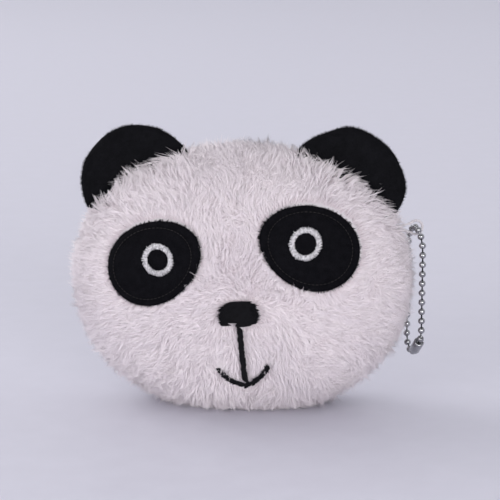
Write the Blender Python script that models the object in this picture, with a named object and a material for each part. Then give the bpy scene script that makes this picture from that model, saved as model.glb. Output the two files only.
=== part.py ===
# Plush panda-face purse that hangs on a ball chain.
# Sizes are in millimetres; the finished objects are in metres, +Z up, face towards -Y.
from math import cos, pi, radians, sin, sqrt

import bmesh
import bpy
from mathutils import Matrix, Vector

MM = 0.001

# Pouch outline, seen from the front
HALF_WIDTH = 58.7
MID_HEIGHT = 45.5
RISE = 45.2
DROP = 50.0
TOP_POWER = 1.92
LOW_POWER = 2.1

# Pouch depth: a domed face and a back that is flat in the middle
SEAM_Y = 6.0
FRONT_DEPTH = 30.0
BACK_DEPTH = 14.0
BACK_FLAT = 0.74
BACK_POWER = 1.6

# Layers and the gaps between them
PLUSH = 3.5
PADDING = 4.0
LINING = 0.8
GAP = 0.3
SEAM_GAP = 0.3
FACE_LIFT = 0.35

# Ears
EAR_ACROSS_RATIO = 0.608
EAR_Z = 76.6
EAR_RADIUS = 20.2
EAR_HALF_DEPTH = 4.6
EAR_CLOTH = 1.4
EAR_Y = 4.5
EAR_POWER = 2.4

# Sewn face: centres as (x, z), turned with the face's slight lean
PATCH_LONG = 17.2
PATCH_SHORT = 13.5
PATCH_THICK = 1.1
PATCH_EDGE = 0.4
PATCH_EGG = 0.08
PATCH_LEFT = (-27.0, 54.1)
PATCH_RIGHT = (25.4, 60.2)
PATCH_LEFT_TILT = 30.0
PATCH_RIGHT_TILT = -24.0
RING_LEFT = (-24.8, 55.5)
RING_RIGHT = (23.9, 61.6)
RING_OUTER = 5.7
RING_INNER = 3.4
RING_THICK = 1.0
RING_CROWN = 0.12
NOSE_CENTRE = (2.2, 37.3)
NOSE_HALF_WIDTH = 7.2
NOSE_HALF_HEIGHT = 4.3
NOSE_THICK = 1.8
NOSE_POWER = 0.8
NOSE_LOW_RATIO = 1.05
NOSE_TOP_RATIO = 0.95
STITCH_RADIUS = 0.85
MOUTH_LEFT = (-4.6, 17.6)
MOUTH_LOW = (3.9, 11.6)
MOUTH_RIGHT = (11.9, 19.6)
LINE_ASIDE = 0.3
LINE_GAP = 0.6
FACE_LEAN = 6.0

# Zip in the back
ZIP_Z = 56.0
SLIT_HALF_LENGTH = 30.5
SLIT_HALF_HEIGHT = 3.5
SLIT_FROM_SEAM = 5.0
LINING_SLIT_GROWTH = 1.0
TAPE_HALF_LENGTH = 32.8
TAPE_INNER = 1.1
TAPE_OUTER = 6.5
TAPE_THICK = 0.5
TOOTH_PITCH = 1.6
TOOTH_WIDTH = 0.6
TOOTH_TIP = -0.5
TOOTH_ROOT = 1.3
TOOTH_BACK = 2.2
TOOTH_HEIGHT = 2.1
TOOTH_GAP = 0.15
TEETH_START = -27.6
TEETH_END = 0.6
TEETH_IN_SLIDER = 2.1
SLIDER_X = 24.0
SLIDER_LENGTH = 8.0
SLIDER_HALF_WIDTH = 3.0
PLATE = 0.8
SLIDER_TAIL = 0.6
SLIDER_TAIL_HALF = 2.4
SLIDER_NOSE = 2.2
SLIDER_NOSE_HALF = 2.0
FLANGE = 0.4
WEDGE_HALF_WIDTH = 0.9
WEDGE_TIP_HALF = 0.3
WEDGE_STARTS = (0.2, 1.4, 3.2)
WELD = 0.2
BRIDGE_HALF_LENGTH = 2.6
BRIDGE_RADIUS = 0.5
POST_LENGTH = 0.8
POST_HALF = 0.6
EYE_INNER = 0.8
EYE_OUTER = 1.3
EYE_WIDTH = 2.6
PULL_LENGTH = 20.0
PULL_HALF_WIDTH = 2.6
PULL_THICK = 1.0
PULL_NECK = 4.0
PULL_SHOULDER = 7.0
PULL_TIP = 1.5
PULL_TIP_HALF = 1.4

# Chain: a loop of beads in an upright plane at the pouch's side
LOOP_CLEARANCE = 1.3
LOOP_Y = 6.5
LOOP_Z = 62.5
LOOP_ALONG = (-0.35, 0.93675, 0.0)
BEAD_COUNT = 32
BEAD_PITCH = 3.3
BEAD_RADIUS = 1.2
BEAD_INNER = 0.95
BEAD_HOLE = 0.66
PIN_RADIUS = 0.22
PIN_HEAD = 0.7
PIN_SEAT = 0.6
FIRST_BEAD = -0.65
LOW_BEND = 5.0
JOIN_LENGTH = 6.6
JOIN_SLOPE = 50.0
JOIN_INNER = 1.45
JOIN_OUTER = 1.8
JOIN_HALF = 3.35
JOIN_LIP = 0.35
JOIN_HOLE = 1.0
JOIN_SLOT = 0.7
JOIN_ROUND = 0.25
JOIN_SHOULDER = 0.5
JOIN_NECK = 0.3
SLOT_DEPTH = 0.2
JOIN_AFTER_COUNT = 14
TAB_CORD = 0.5
TAB_HOLE = 1.9
TAB_SEWN_IN = 7.4
TAB_NECK = 4.2
TAB_HALF_SPREAD = 0.8
TAB_Y = 0.25
TAB_OPENING = 145.0
NOTCH_FRONT = 0.9
NOTCH_BACK = 1.4
NOTCH_HALF_HEIGHT = 2.2

# Counts of beads at which the loop bends: over the tab, down the front, along the low end, up the back
ARCH_COUNT = 4
FRONT_COUNT = 12
LOW_COUNT = 20
BACK_COUNT = 28

# Segments round the shapes
OUTLINE_STEPS = 40
FRONT_STEPS = 8
BACK_STEPS = 4
EAR_STEPS = 28
EAR_RING_STEPS = 5
PATCH_STEPS = 24
RING_STEPS = 20
BEAD_STEPS = 8
SMOOTH_ANGLE = 40.0

for old in list(bpy.data.objects):
    bpy.data.objects.remove(old)

PARTS = bpy.data.collections.new("plush_panda_purse")
CUTTERS = bpy.data.collections.new("cutters")
bpy.context.scene.collection.children.link(PARTS)
bpy.context.scene.collection.children.link(CUTTERS)
CUTTERS.hide_render = True


def cloth(name, colour, rough, metal=0.0):
    made = bpy.data.materials.new(name)
    made.use_nodes = True
    shader = made.node_tree.nodes["Principled BSDF"]
    shader.inputs["Base Color"].default_value = (*colour, 1.0)
    shader.inputs["Roughness"].default_value = rough
    shader.inputs["Metallic"].default_value = metal
    made.diffuse_color = (*colour, 1.0)
    return made


def add(name, bm, material=None):
    """A named object from a bmesh in millimetres; one with no material is a cutter."""
    bmesh.ops.scale(bm, vec=(MM, MM, MM), verts=bm.verts)
    bmesh.ops.recalc_face_normals(bm, faces=bm.faces)
    mesh = bpy.data.meshes.new(name)
    bm.to_mesh(mesh)
    bm.free()
    mesh.shade_smooth()
    mesh.set_sharp_from_angle(angle=radians(SMOOTH_ANGLE))
    made = bpy.data.objects.new(name, mesh)
    if material:
        mesh.materials.append(cloth(name, *material))
        PARTS.objects.link(made)
    else:
        made.display_type = "WIRE"
        made.hide_render = True
        CUTTERS.objects.link(made)
    return made


def boolean(target, tool, operation):
    cut = target.modifiers.new(tool.name, "BOOLEAN")
    cut.operation = operation
    cut.solver = "EXACT"
    cut.object = tool


def outline(angle, inset):
    """A point of the pouch's outline about its middle."""
    across = HALF_WIDTH - inset
    height, power = (RISE, TOP_POWER) if sin(angle) > 0 else (DROP, LOW_POWER)
    up = height - inset
    reach = (abs(cos(angle) / across) ** power + abs(sin(angle) / up) ** power) ** (-1 / power)
    return reach * cos(angle), reach * sin(angle)


def face_y(x, z):
    """The face's front surface at a point of the front view."""
    up, power = (RISE, TOP_POWER) if z > MID_HEIGHT else (DROP, LOW_POWER)
    share = (abs(x / HALF_WIDTH) ** power + abs((z - MID_HEIGHT) / up) ** power) ** (1 / power)
    return SEAM_Y - SEAM_GAP / 2 - FRONT_DEPTH * sqrt(1 - share ** 3)


def front_stations(inset):
    """(scale of the outline, y) from the seam to the middle of the face."""
    for step in range(FRONT_STEPS + 1):
        turn = step / FRONT_STEPS * pi / 2
        scale = max(cos(turn), 0) ** (2 / 3)
        yield scale, SEAM_Y - SEAM_GAP / 2 - (FRONT_DEPTH - inset) * sin(turn)


def back_stations(inset):
    """(scale of the outline, y) from the seam to the edge of the flat back."""
    for step in range(BACK_STEPS + 1):
        turn = step / BACK_STEPS * pi / 2
        scale = BACK_FLAT + (1 - BACK_FLAT) * max(cos(turn), 0) ** (2 / BACK_POWER)
        yield scale, SEAM_Y + SEAM_GAP / 2 + (BACK_DEPTH - inset) * sin(turn) ** (2 / BACK_POWER)


def ring(bm, scale, y, inset):
    made = []
    for step in range(OUTLINE_STEPS):
        x, z = outline((step + 0.5) / OUTLINE_STEPS * 2 * pi, inset)
        made.append(bm.verts.new((x * scale, y, max(MID_HEIGHT + z * scale, inset))))
    return made


def bridge(bm, one, other):
    count = len(one)
    for step in range(count):
        after = (step + 1) % count
        bm.faces.new((one[step], one[after], other[after], other[step]))


def surface(bm, stations, inset):
    """One skin of the pouch, from its rim to its closed middle; gives the rim."""
    rings = [ring(bm, scale, y, inset) for scale, y in stations if scale > 0.02]
    for one, other in zip(rings, rings[1:]):
        bridge(bm, one, other)
    scale, y = stations[-1]
    if scale > 0.02:
        bm.faces.new(rings[-1])
        return rings[0]
    tip = bm.verts.new((0, y, MID_HEIGHT))
    for step in range(OUTLINE_STEPS):
        bm.faces.new((rings[-1][step], rings[-1][(step + 1) % OUTLINE_STEPS], tip))
    return rings[0]


def shell(name, stations, outer, inner, material):
    """A bowl of cloth between two insets from the pouch's outer surface."""
    bm = bmesh.new()
    rim = surface(bm, list(stations(outer)), outer)
    bridge(bm, rim, surface(bm, list(stations(inner)), inner))
    return add(name, bm, material)


def envelope(name, inset):
    """The whole pouch as one closed cutter."""
    bm = bmesh.new()
    front = surface(bm, list(front_stations(inset)), inset)
    bridge(bm, front, surface(bm, list(back_stations(inset)), inset))
    return add(name, bm)


def box(bm, low, high):
    made = bmesh.ops.create_cube(bm, size=1.0)["verts"]
    for vert in made:
        vert.co = [low[n] if vert.co[n] < 0 else high[n] for n in range(3)]
    return made


def extrude(bm, points, way):
    face = bm.faces.new([bm.verts.new(point) for point in points])
    grown = bmesh.ops.extrude_face_region(bm, geom=[face])["geom"]
    moved = [item for item in grown if isinstance(item, bmesh.types.BMVert)]
    bmesh.ops.translate(bm, vec=way, verts=moved)
    return moved


def revolve(profile, steps):
    """A solid of revolution about Z from (radius, height) points."""
    bm = bmesh.new()
    verts = [bm.verts.new((radius, 0, height)) for radius, height in profile]
    edges = [bm.edges.new(pair) for pair in zip(verts, verts[1:])]
    bmesh.ops.spin(
        bm, geom=verts + edges, axis=(0, 0, 1), cent=(0, 0, 0), angle=2 * pi, steps=steps, use_merge=True
    )
    bmesh.ops.remove_doubles(bm, verts=bm.verts, dist=0.001)
    return bm


def tube(name, points, radius, material, steps=3):
    """A round cord through points, closed at both ends."""
    curve = bpy.data.curves.new(name, "CURVE")
    curve.dimensions = "3D"
    curve.bevel_depth = radius
    curve.bevel_resolution = steps - 1
    curve.use_fill_caps = True
    spline = curve.splines.new("POLY")
    spline.points.add(len(points) - 1)
    for point, place in zip(spline.points, points):
        point.co = (*place, 1.0)
    shape = bpy.data.objects.new(name, curve)
    bm = bmesh.new()
    mesh = bpy.data.meshes.new_from_object(shape)
    bm.from_mesh(mesh)
    bmesh.ops.remove_doubles(bm, verts=bm.verts, dist=0.001)
    bpy.data.objects.remove(shape)
    bpy.data.meshes.remove(mesh)
    return add(name, bm, material)


# The two plush halves, the padding behind the face and the lining
WHITE = ((0.62, 0.58, 0.6), 0.9)
BLACK = ((0.012, 0.012, 0.015), 0.85)
face_panel = shell("face_panel", front_stations, 0, PLUSH, WHITE)
back_panel = shell("back_panel", back_stations, 0, PLUSH, WHITE)
pad_outer = PLUSH + GAP
shell("face_padding", front_stations, pad_outer, pad_outer + PADDING, ((0.7, 0.7, 0.68), 1.0))
front_lining = pad_outer + PADDING + GAP
shell("lining_front", front_stations, front_lining, front_lining + LINING, ((0.3, 0.3, 0.32), 0.7))
back_lining = PLUSH + GAP + TAPE_THICK + GAP
lining_back = shell(
    "lining_back", back_stations, back_lining, back_lining + LINING, ((0.3, 0.3, 0.32), 0.7)
)


def slit(name, grow):
    """A cutter for the zip's opening, round at both ends."""
    bm = bmesh.new()
    half = SLIT_HALF_HEIGHT + grow
    points = []
    for end, first in ((1, -pi / 2), (-1, pi / 2)):
        for step in range(7):
            turn = first + step / 6 * pi
            x = end * (SLIT_HALF_LENGTH - SLIT_HALF_HEIGHT) + half * cos(turn)
            points.append((x, SEAM_Y + SLIT_FROM_SEAM, ZIP_Z + half * sin(turn)))
    extrude(bm, points, (0, BACK_DEPTH, 0))
    return add(name, bm)


boolean(back_panel, slit("slit_in_plush", 0.0), "DIFFERENCE")
boolean(lining_back, slit("slit_in_lining", LINING_SLIT_GROWTH), "DIFFERENCE")

# Where the tab's two legs pass through the side seam
bm = bmesh.new()
eye = Vector((HALF_WIDTH + LOOP_CLEARANCE, LOOP_Y, LOOP_Z))
tab_root = HALF_WIDTH - TAB_SEWN_IN
low = (tab_root - GAP, SEAM_Y - NOTCH_FRONT, eye.z - NOTCH_HALF_HEIGHT)
high = (eye.x + TAB_HOLE, SEAM_Y + NOTCH_BACK, eye.z + NOTCH_HALF_HEIGHT)
box(bm, low, high)
notch = add("tab_notch", bm)
boolean(face_panel, notch, "DIFFERENCE")
boolean(back_panel, notch, "DIFFERENCE")

# Ears: two cloth halves round a filling, cut to sit on the pouch
head = envelope("head_clearance", -GAP)


def ear_depth(radius, inset):
    rest = max(1 - (radius / (EAR_RADIUS - inset)) ** EAR_POWER, 0)
    return (EAR_HALF_DEPTH - inset) * sqrt(rest)


def ear_skin(inset):
    """(radius, depth) from the middle of the ear to its rim."""
    reach = EAR_RADIUS - inset
    radii = [reach * sin(step / EAR_RING_STEPS * pi / 2) for step in range(EAR_RING_STEPS + 1)]
    return [(radius, ear_depth(radius, inset)) for radius in radii]


def ear_piece(name, profile, side, facing, material):
    bm = revolve(profile, EAR_STEPS)
    turn = Matrix.Rotation(facing * pi / 2, 4, "X")
    place = Matrix.Translation((side * HALF_WIDTH * EAR_ACROSS_RATIO, EAR_Y, EAR_Z))
    bmesh.ops.transform(bm, matrix=place @ turn, verts=bm.verts)
    made = add(name, bm, material)
    boolean(made, head, "DIFFERENCE")
    return made


half_shell = [(r, d + SEAM_GAP / 2) for r, d in ear_skin(0)]
half_shell += [(r, d + SEAM_GAP / 2) for r, d in reversed(ear_skin(EAR_CLOTH))]
core = ear_skin(EAR_CLOTH + GAP)
solid = [(r, d) for r, d in core] + [(r, -d) for r, d in reversed(core[:-1])]
for word, side in (("left", -1), ("right", 1)):
    ear_piece("ear_front_" + word, half_shell, side, 1, BLACK)
    ear_piece("ear_back_" + word, half_shell, side, -1, BLACK)
    ear_piece("ear_filling_" + word, solid, side, 1, ((0.7, 0.7, 0.68), 1.0))


def on_face(x, z, lift):
    return x, face_y(x, z) - lift, z


def laid(name, sections, material):
    """A piece lying on the face, from closed rings of (x, z, lift), first and last filled."""
    bm = bmesh.new()
    rings = [[bm.verts.new(on_face(*point)) for point in section] for section in sections]
    for one, other in zip(rings, rings[1:]):
        bridge(bm, one, other)
    for end in (rings[0], rings[-1]):
        middle = sum((vert.co for vert in end), Vector()) / len(end)
        bm.verts.new(middle)
        bm.verts.ensure_lookup_table()
        tip = bm.verts[-1]
        lift = on_face(middle.x, middle.z, 0)[1] - face_y(end[0].co.x, end[0].co.z)
        tip.co.y = end[0].co.y + lift
        for step in range(len(end)):
            bm.faces.new((end[step], end[(step + 1) % len(end)], tip))
    return add(name, bm, material)


def oval(centre, long, short, tilt, scale, lift, steps, egg=0.0):
    """A tilted egg, fuller at its outer lower end."""
    made = []
    turn = radians(tilt)
    for step in range(steps):
        angle = step / steps * 2 * pi
        u = long * scale * cos(angle)
        v = short * scale * sin(angle) * (1 + egg * cos(angle))
        x = centre[0] + u * cos(turn) - v * sin(turn)
        z = centre[1] + u * sin(turn) + v * cos(turn)
        made.append((x, z, lift))
    return made


for word, centre, tilt, egg in (
    ("left", PATCH_LEFT, PATCH_LEFT_TILT, -PATCH_EGG),
    ("right", PATCH_RIGHT, PATCH_RIGHT_TILT, PATCH_EGG),
):
    size = (PATCH_LONG, PATCH_SHORT, tilt)
    top = FACE_LIFT + PATCH_THICK
    steps = [(0.4, FACE_LIFT), (0.75, FACE_LIFT), (0.97, FACE_LIFT), (1.0, FACE_LIFT + PATCH_EDGE)]
    steps += [(0.96, top), (0.75, top), (0.4, top)]
    sections = [oval(centre, *size, scale, lift, PATCH_STEPS, egg) for scale, lift in steps]
    laid("eye_patch_" + word, sections, BLACK)


def eye_ring(name, centre, base):
    bm = bmesh.new()
    rings = []
    half = (RING_OUTER - RING_INNER) / 2
    for step in range(8):
        turn = step / 8 * 2 * pi
        radius = RING_INNER + half + half * cos(turn)
        lift = base + (RING_THICK * sin(turn) if sin(turn) > 0 else RING_CROWN * (1 + sin(turn)))
        circle = oval(centre, radius, radius, 0, 1, lift, RING_STEPS)
        rings.append([bm.verts.new(on_face(*point)) for point in circle])
    for one, other in zip(rings, rings[1:] + rings[:1]):
        bridge(bm, one, other)
    return add(name, bm, ((0.6, 0.57, 0.6), 0.6))


ring_base = FACE_LIFT + PATCH_THICK + GAP
eye_ring("eye_ring_left", RING_LEFT, ring_base)
eye_ring("eye_ring_right", RING_RIGHT, ring_base)


def bean(scale, lift):
    """The nose's outline: a wide bean that comes to a blunt point below."""
    made = []
    turn = radians(FACE_LEAN)
    for step in range(RING_STEPS):
        angle = step / RING_STEPS * 2 * pi
        u = NOSE_HALF_WIDTH * scale * abs(cos(angle)) ** NOSE_POWER * (1 if cos(angle) > 0 else -1)
        v = NOSE_HALF_HEIGHT * scale * sin(angle) * (NOSE_LOW_RATIO if sin(angle) < 0 else NOSE_TOP_RATIO)
        x = NOSE_CENTRE[0] + u * cos(turn) - v * sin(turn)
        z = NOSE_CENTRE[1] + u * sin(turn) + v * cos(turn)
        made.append((x, z, lift))
    return made


nose_steps = [(0.5, 0.0), (0.93, 0.0), (1.0, 0.2), (0.93, 0.53), (0.7, 0.8), (0.35, 1.0)]
laid("nose", [bean(scale, FACE_LIFT + NOSE_THICK * rise) for scale, rise in nose_steps], BLACK)

seat = STITCH_RADIUS + FACE_LIFT
top = (NOSE_CENTRE[0] + LINE_ASIDE, NOSE_CENTRE[1] - NOSE_HALF_HEIGHT - STITCH_RADIUS)
low = (MOUTH_LOW[0], MOUTH_LOW[1] + STITCH_RADIUS + LINE_GAP)
line = [(top[0] + (low[0] - top[0]) * n / 8, top[1] + (low[1] - top[1]) * n / 8) for n in range(9)]
tube("mouth_line", [on_face(x, z, seat) for x, z in line], STITCH_RADIUS, BLACK, 2)
arc = []
for n in range(13):
    t = n / 12
    bend = [2 * MOUTH_LOW[k] - (MOUTH_LEFT[k] + MOUTH_RIGHT[k]) / 2 for k in range(2)]
    weights = ((1 - t) ** 2, 2 * t * (1 - t), t ** 2)
    ends = (MOUTH_LEFT, bend, MOUTH_RIGHT)
    arc.append([sum(w * p[k] for w, p in zip(weights, ends)) for k in range(2)])
tube("mouth_arc", [on_face(x, z, seat) for x, z in arc], STITCH_RADIUS, BLACK, 2)

# Zip: two tapes behind the slit, two rows of teeth, a slider and its pull
PLUSH_IN = SEAM_Y + SEAM_GAP / 2 + BACK_DEPTH - PLUSH
tape_out = PLUSH_IN - GAP
tape_in = tape_out - TAPE_THICK
teeth_in = tape_out + TOOTH_GAP
teeth_out = teeth_in + TOOTH_HEIGHT
NYLON = ((0.5, 0.5, 0.52), 0.5)
STEEL = ((0.55, 0.55, 0.56), 0.3, 1.0)
tooth_count = int((SLIDER_X - SLIDER_LENGTH / 2 + TEETH_IN_SLIDER - TEETH_START) / TOOTH_PITCH)
for word, side in (("upper", 1), ("lower", -1)):
    bm = bmesh.new()
    edges = sorted((ZIP_Z + side * TAPE_INNER, ZIP_Z + side * TAPE_OUTER))
    box(bm, (-TAPE_HALF_LENGTH, tape_in, edges[0]), (TAPE_HALF_LENGTH, tape_out, edges[1]))
    add("zip_tape_" + word, bm, NYLON)
    bm = bmesh.new()
    start = TEETH_START + (0 if side > 0 else TOOTH_PITCH / 2)
    comb = [(TEETH_START - TEETH_END, TOOTH_BACK), (TEETH_START - TEETH_END, TOOTH_ROOT)]
    for n in range(tooth_count):
        left = start + n * TOOTH_PITCH - TOOTH_WIDTH / 2
        comb += [(left, TOOTH_ROOT), (left, TOOTH_TIP)]
        comb += [(left + TOOTH_WIDTH, TOOTH_TIP), (left + TOOTH_WIDTH, TOOTH_ROOT)]
    last = TEETH_START + tooth_count * TOOTH_PITCH
    comb += [(last, TOOTH_ROOT), (last, TOOTH_BACK)]
    extrude(bm, [(x, teeth_in, ZIP_Z + side * z) for x, z in comb], (0, TOOTH_HEIGHT, 0))
    add("zip_teeth_" + word, bm, NYLON)

plate_low = teeth_out + GAP
plate_high = plate_low + PLATE
under_high = tape_in - GAP
under_low = under_high - PLATE
half = SLIDER_LENGTH / 2
bm = bmesh.new()
plan = [(-half, SLIDER_TAIL_HALF), (-half + SLIDER_TAIL, SLIDER_HALF_WIDTH)]
plan += [(half - SLIDER_NOSE, SLIDER_HALF_WIDTH), (half, SLIDER_NOSE_HALF)]
plan = plan + [(x, -z) for x, z in reversed(plan)]
extrude(bm, [(SLIDER_X + x, plate_low, ZIP_Z + z) for x, z in plan], (0, PLATE, 0))
slider = add("zip_slider", bm, STEEL)
bm = bmesh.new()
extrude(bm, [(SLIDER_X + x, under_low, ZIP_Z + z) for x, z in plan], (0, PLATE, 0))
boolean(slider, add("slider_under_plate", bm), "UNION")
bm = bmesh.new()
wedge = list(zip(WEDGE_STARTS, (WEDGE_TIP_HALF, WEDGE_HALF_WIDTH, WEDGE_HALF_WIDTH)))
wedge = wedge + [(x, -z) for x, z in reversed(wedge)]
extrude(
    bm,
    [(SLIDER_X + x, under_high - WELD, ZIP_Z + z) for x, z in wedge],
    (0, plate_low - under_high + 2 * WELD, 0),
)
boolean(slider, add("slider_wedge", bm), "UNION")
for side in (1, -1):
    bm = bmesh.new()
    sides = sorted((ZIP_Z + side * (SLIDER_HALF_WIDTH - FLANGE), ZIP_Z + side * SLIDER_HALF_WIDTH))
    low = (SLIDER_X - half + SLIDER_TAIL, tape_out + GAP, sides[0])
    box(bm, low, (SLIDER_X + half - SLIDER_NOSE, plate_low + WELD, sides[1]))
    boolean(slider, add("slider_flange_%d" % side, bm), "UNION")
bar_y = plate_high + EYE_OUTER + GAP
for end in (1, -1):
    bm = bmesh.new()
    ends = sorted((SLIDER_X + end * (BRIDGE_HALF_LENGTH - POST_LENGTH), SLIDER_X + end * BRIDGE_HALF_LENGTH))
    box(bm, (ends[0], plate_high - WELD, ZIP_Z - POST_HALF), (ends[1], bar_y + POST_HALF, ZIP_Z + POST_HALF))
    boolean(slider, add("slider_post_%d" % end, bm), "UNION")
bm = bmesh.new()
bmesh.ops.create_cone(
    bm,
    cap_ends=True,
    segments=12,
    radius1=BRIDGE_RADIUS,
    radius2=BRIDGE_RADIUS,
    depth=2 * BRIDGE_HALF_LENGTH - POST_LENGTH,
)
lying = Matrix.Translation((SLIDER_X, bar_y, ZIP_Z)) @ Matrix.Rotation(pi / 2, 4, "Y")
bmesh.ops.transform(bm, matrix=lying, verts=bm.verts)
boolean(slider, add("slider_bar", bm), "UNION")

bm = revolve(
    [
        (EYE_INNER, -EYE_WIDTH / 2),
        (EYE_OUTER, -EYE_WIDTH / 2),
        (EYE_OUTER, EYE_WIDTH / 2),
        (EYE_INNER, EYE_WIDTH / 2),
        (EYE_INNER, -EYE_WIDTH / 2),
    ],
    16,
)
bmesh.ops.transform(bm, matrix=lying, verts=bm.verts)
pull = add("zip_pull", bm, STEEL)
bm = bmesh.new()
narrow = EYE_WIDTH / 2 - WELD / 2
neck = EYE_OUTER - WELD
blade = [(-narrow, -neck), (-narrow, -PULL_NECK), (-PULL_HALF_WIDTH, -PULL_SHOULDER)]
blade += [(-PULL_HALF_WIDTH, PULL_TIP - PULL_LENGTH), (-PULL_TIP_HALF, -PULL_LENGTH)]
blade = blade + [(-x, z) for x, z in reversed(blade)]
plane = bar_y - PULL_THICK / 2
extrude(bm, [(SLIDER_X + x, plane, ZIP_Z + z) for x, z in blade], (0, PULL_THICK, 0))
boolean(pull, add("pull_blade", bm), "UNION")

# The chain's path, from the top of the loop down its front
along = Vector(LOOP_ALONG).normalized()
slope = radians(JOIN_SLOPE)
top_bend = LOW_BEND + JOIN_LENGTH * sin(slope) / 2
spare = BEAD_COUNT * BEAD_PITCH - pi * (top_bend + LOW_BEND) - JOIN_LENGTH * (1 + cos(slope))
drop = spare / 2
PATH = (
    (top_bend * pi / 2, pi / 2),
    (drop, 0),
    (LOW_BEND * slope, slope),
    (JOIN_LENGTH, 0),
    (LOW_BEND * (pi - slope), pi - slope),
    (drop + JOIN_LENGTH * cos(slope), 0),
    (top_bend * pi / 2, pi / 2),
)


def chain_point(distance):
    """The point of the loop at a distance along it."""
    rest = distance % (BEAD_COUNT * BEAD_PITCH)
    h, z, heading = 0.0, 0.0, pi
    for length, turn in PATH:
        step = min(rest, length)
        if turn:
            radius = length / turn
            swept = heading + step / radius
            h += radius * (sin(swept) - sin(heading))
            z -= radius * (cos(swept) - cos(heading))
            heading = swept
        else:
            h += step * cos(heading)
            z += step * sin(heading)
        rest -= step
        if rest <= 0:
            break
    return eye + along * h + Vector((0, 0, z))


beads = [chain_point(FIRST_BEAD + n * BEAD_PITCH) for n in range(BEAD_COUNT)]


def sphere(radius, angle):
    return radius * sin(radians(angle)), radius * cos(radians(angle))


def bead(number):
    """A hollow bead with a hole on one side and the pin to the next bead on the other."""
    here = beads[number]
    before = here - beads[number - 1]
    after = beads[(number + 1) % BEAD_COUNT] - here
    way = (before.normalized() + after.normalized()).normalized()
    if number in (JOIN_AFTER_COUNT, JOIN_AFTER_COUNT + 1):
        way = (before if number == JOIN_AFTER_COUNT else after).normalized()
    reach = after.length
    pinned = number != JOIN_AFTER_COUNT
    profile = []
    if pinned:
        head = [sphere(PIN_HEAD, angle) for angle in (0, 50, 98)]
        profile += [(across, reach + up) for across, up in head]
        profile += [(PIN_RADIUS, reach - PIN_SEAT), (PIN_RADIUS, sqrt(BEAD_RADIUS ** 2 - PIN_RADIUS ** 2))]
    else:
        profile += [(0, BEAD_RADIUS)]
    profile += [sphere(BEAD_RADIUS, angle) for angle in (40, 75, 110)]
    profile += [(BEAD_HOLE, -sqrt(radius ** 2 - BEAD_HOLE ** 2)) for radius in (BEAD_RADIUS, BEAD_INNER)]
    profile += [sphere(BEAD_INNER, angle) for angle in (100, 60)] + [(0, BEAD_INNER)]
    bm = revolve(profile, BEAD_STEPS)
    upright = Vector((0, 0, 1)).rotation_difference(way).to_matrix()
    bmesh.ops.rotate(bm, verts=bm.verts, cent=(0, 0, 0), matrix=upright)
    if pinned:
        lean = way.rotation_difference(after).to_matrix()
        stem = [vert for vert in bm.verts if vert.co.dot(way) > BEAD_RADIUS * 0.95]
        bmesh.ops.rotate(bm, verts=stem, cent=(0, 0, 0), matrix=lean)
    bmesh.ops.translate(bm, verts=bm.verts, vec=here)
    return add("chain_bead_%02d" % (number + 1), bm, STEEL)


made_beads = [bead(number) for number in range(BEAD_COUNT)]

# The connector that closes the loop over its two end beads
lip = JOIN_HALF - JOIN_LIP
bm = revolve(
    [
        (JOIN_HOLE, -JOIN_HALF),
        (JOIN_OUTER - JOIN_ROUND, -JOIN_HALF),
        (JOIN_OUTER, -JOIN_HALF + JOIN_SHOULDER),
        (JOIN_OUTER, JOIN_HALF - JOIN_SHOULDER),
        (JOIN_OUTER - JOIN_ROUND, JOIN_HALF),
        (JOIN_HOLE, JOIN_HALF),
        (JOIN_HOLE, lip),
        (JOIN_INNER, lip - JOIN_NECK),
        (JOIN_INNER, JOIN_NECK - lip),
        (JOIN_HOLE, -lip),
        (JOIN_HOLE, -JOIN_HALF),
    ],
    12,
)
run = (beads[JOIN_AFTER_COUNT + 1] - beads[JOIN_AFTER_COUNT]).normalized()
side = along.cross(Vector((0, 0, 1))).normalized()
frame = Matrix((side, run.cross(side), run)).transposed().to_4x4()
join_place = Matrix.Translation((beads[JOIN_AFTER_COUNT] + beads[JOIN_AFTER_COUNT + 1]) / 2) @ frame
bmesh.ops.transform(bm, matrix=join_place, verts=bm.verts)
connector = add("chain_connector", bm, STEEL)
bm = bmesh.new()
beyond = JOIN_HALF + JOIN_SLOT
slot = box(bm, (SLOT_DEPTH, -JOIN_SLOT / 2, -beyond), (JOIN_OUTER + JOIN_SLOT, JOIN_SLOT / 2, beyond))
bmesh.ops.transform(bm, matrix=join_place, verts=slot)
boolean(connector, add("connector_slot", bm), "DIFFERENCE")

# The cord tab, caught by both ends in the side seam
out = along.cross(Vector((0, 0, 1))).normalized()
middle = TAB_HOLE + TAB_CORD
path = [Vector((x, SEAM_Y + TAB_Y, eye.z + TAB_HALF_SPREAD)) for x in (tab_root, eye.x - TAB_NECK)]
for n in range(13):
    turn = radians(TAB_OPENING * (1 - n / 6))
    path.append(eye + out * middle * cos(turn) + Vector((0, 0, middle * sin(turn))))
path += [Vector((point.x, point.y, 2 * eye.z - point.z)) for point in reversed(path[:2])]
tube("chain_tab", path, TAB_CORD, ((0.02, 0.02, 0.022), 0.8), 2)


def pivot(name, place, moving):
    """An empty on a joint's axis that carries the pieces turning or sliding with it."""
    empty = bpy.data.objects.new(name, None)
    empty.location = [value * MM for value in place]
    empty.empty_display_size = 0.004
    PARTS.objects.link(empty)
    for item in moving:
        item.parent = empty
        item.matrix_parent_inverse = Matrix.Translation(-empty.location)


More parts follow.
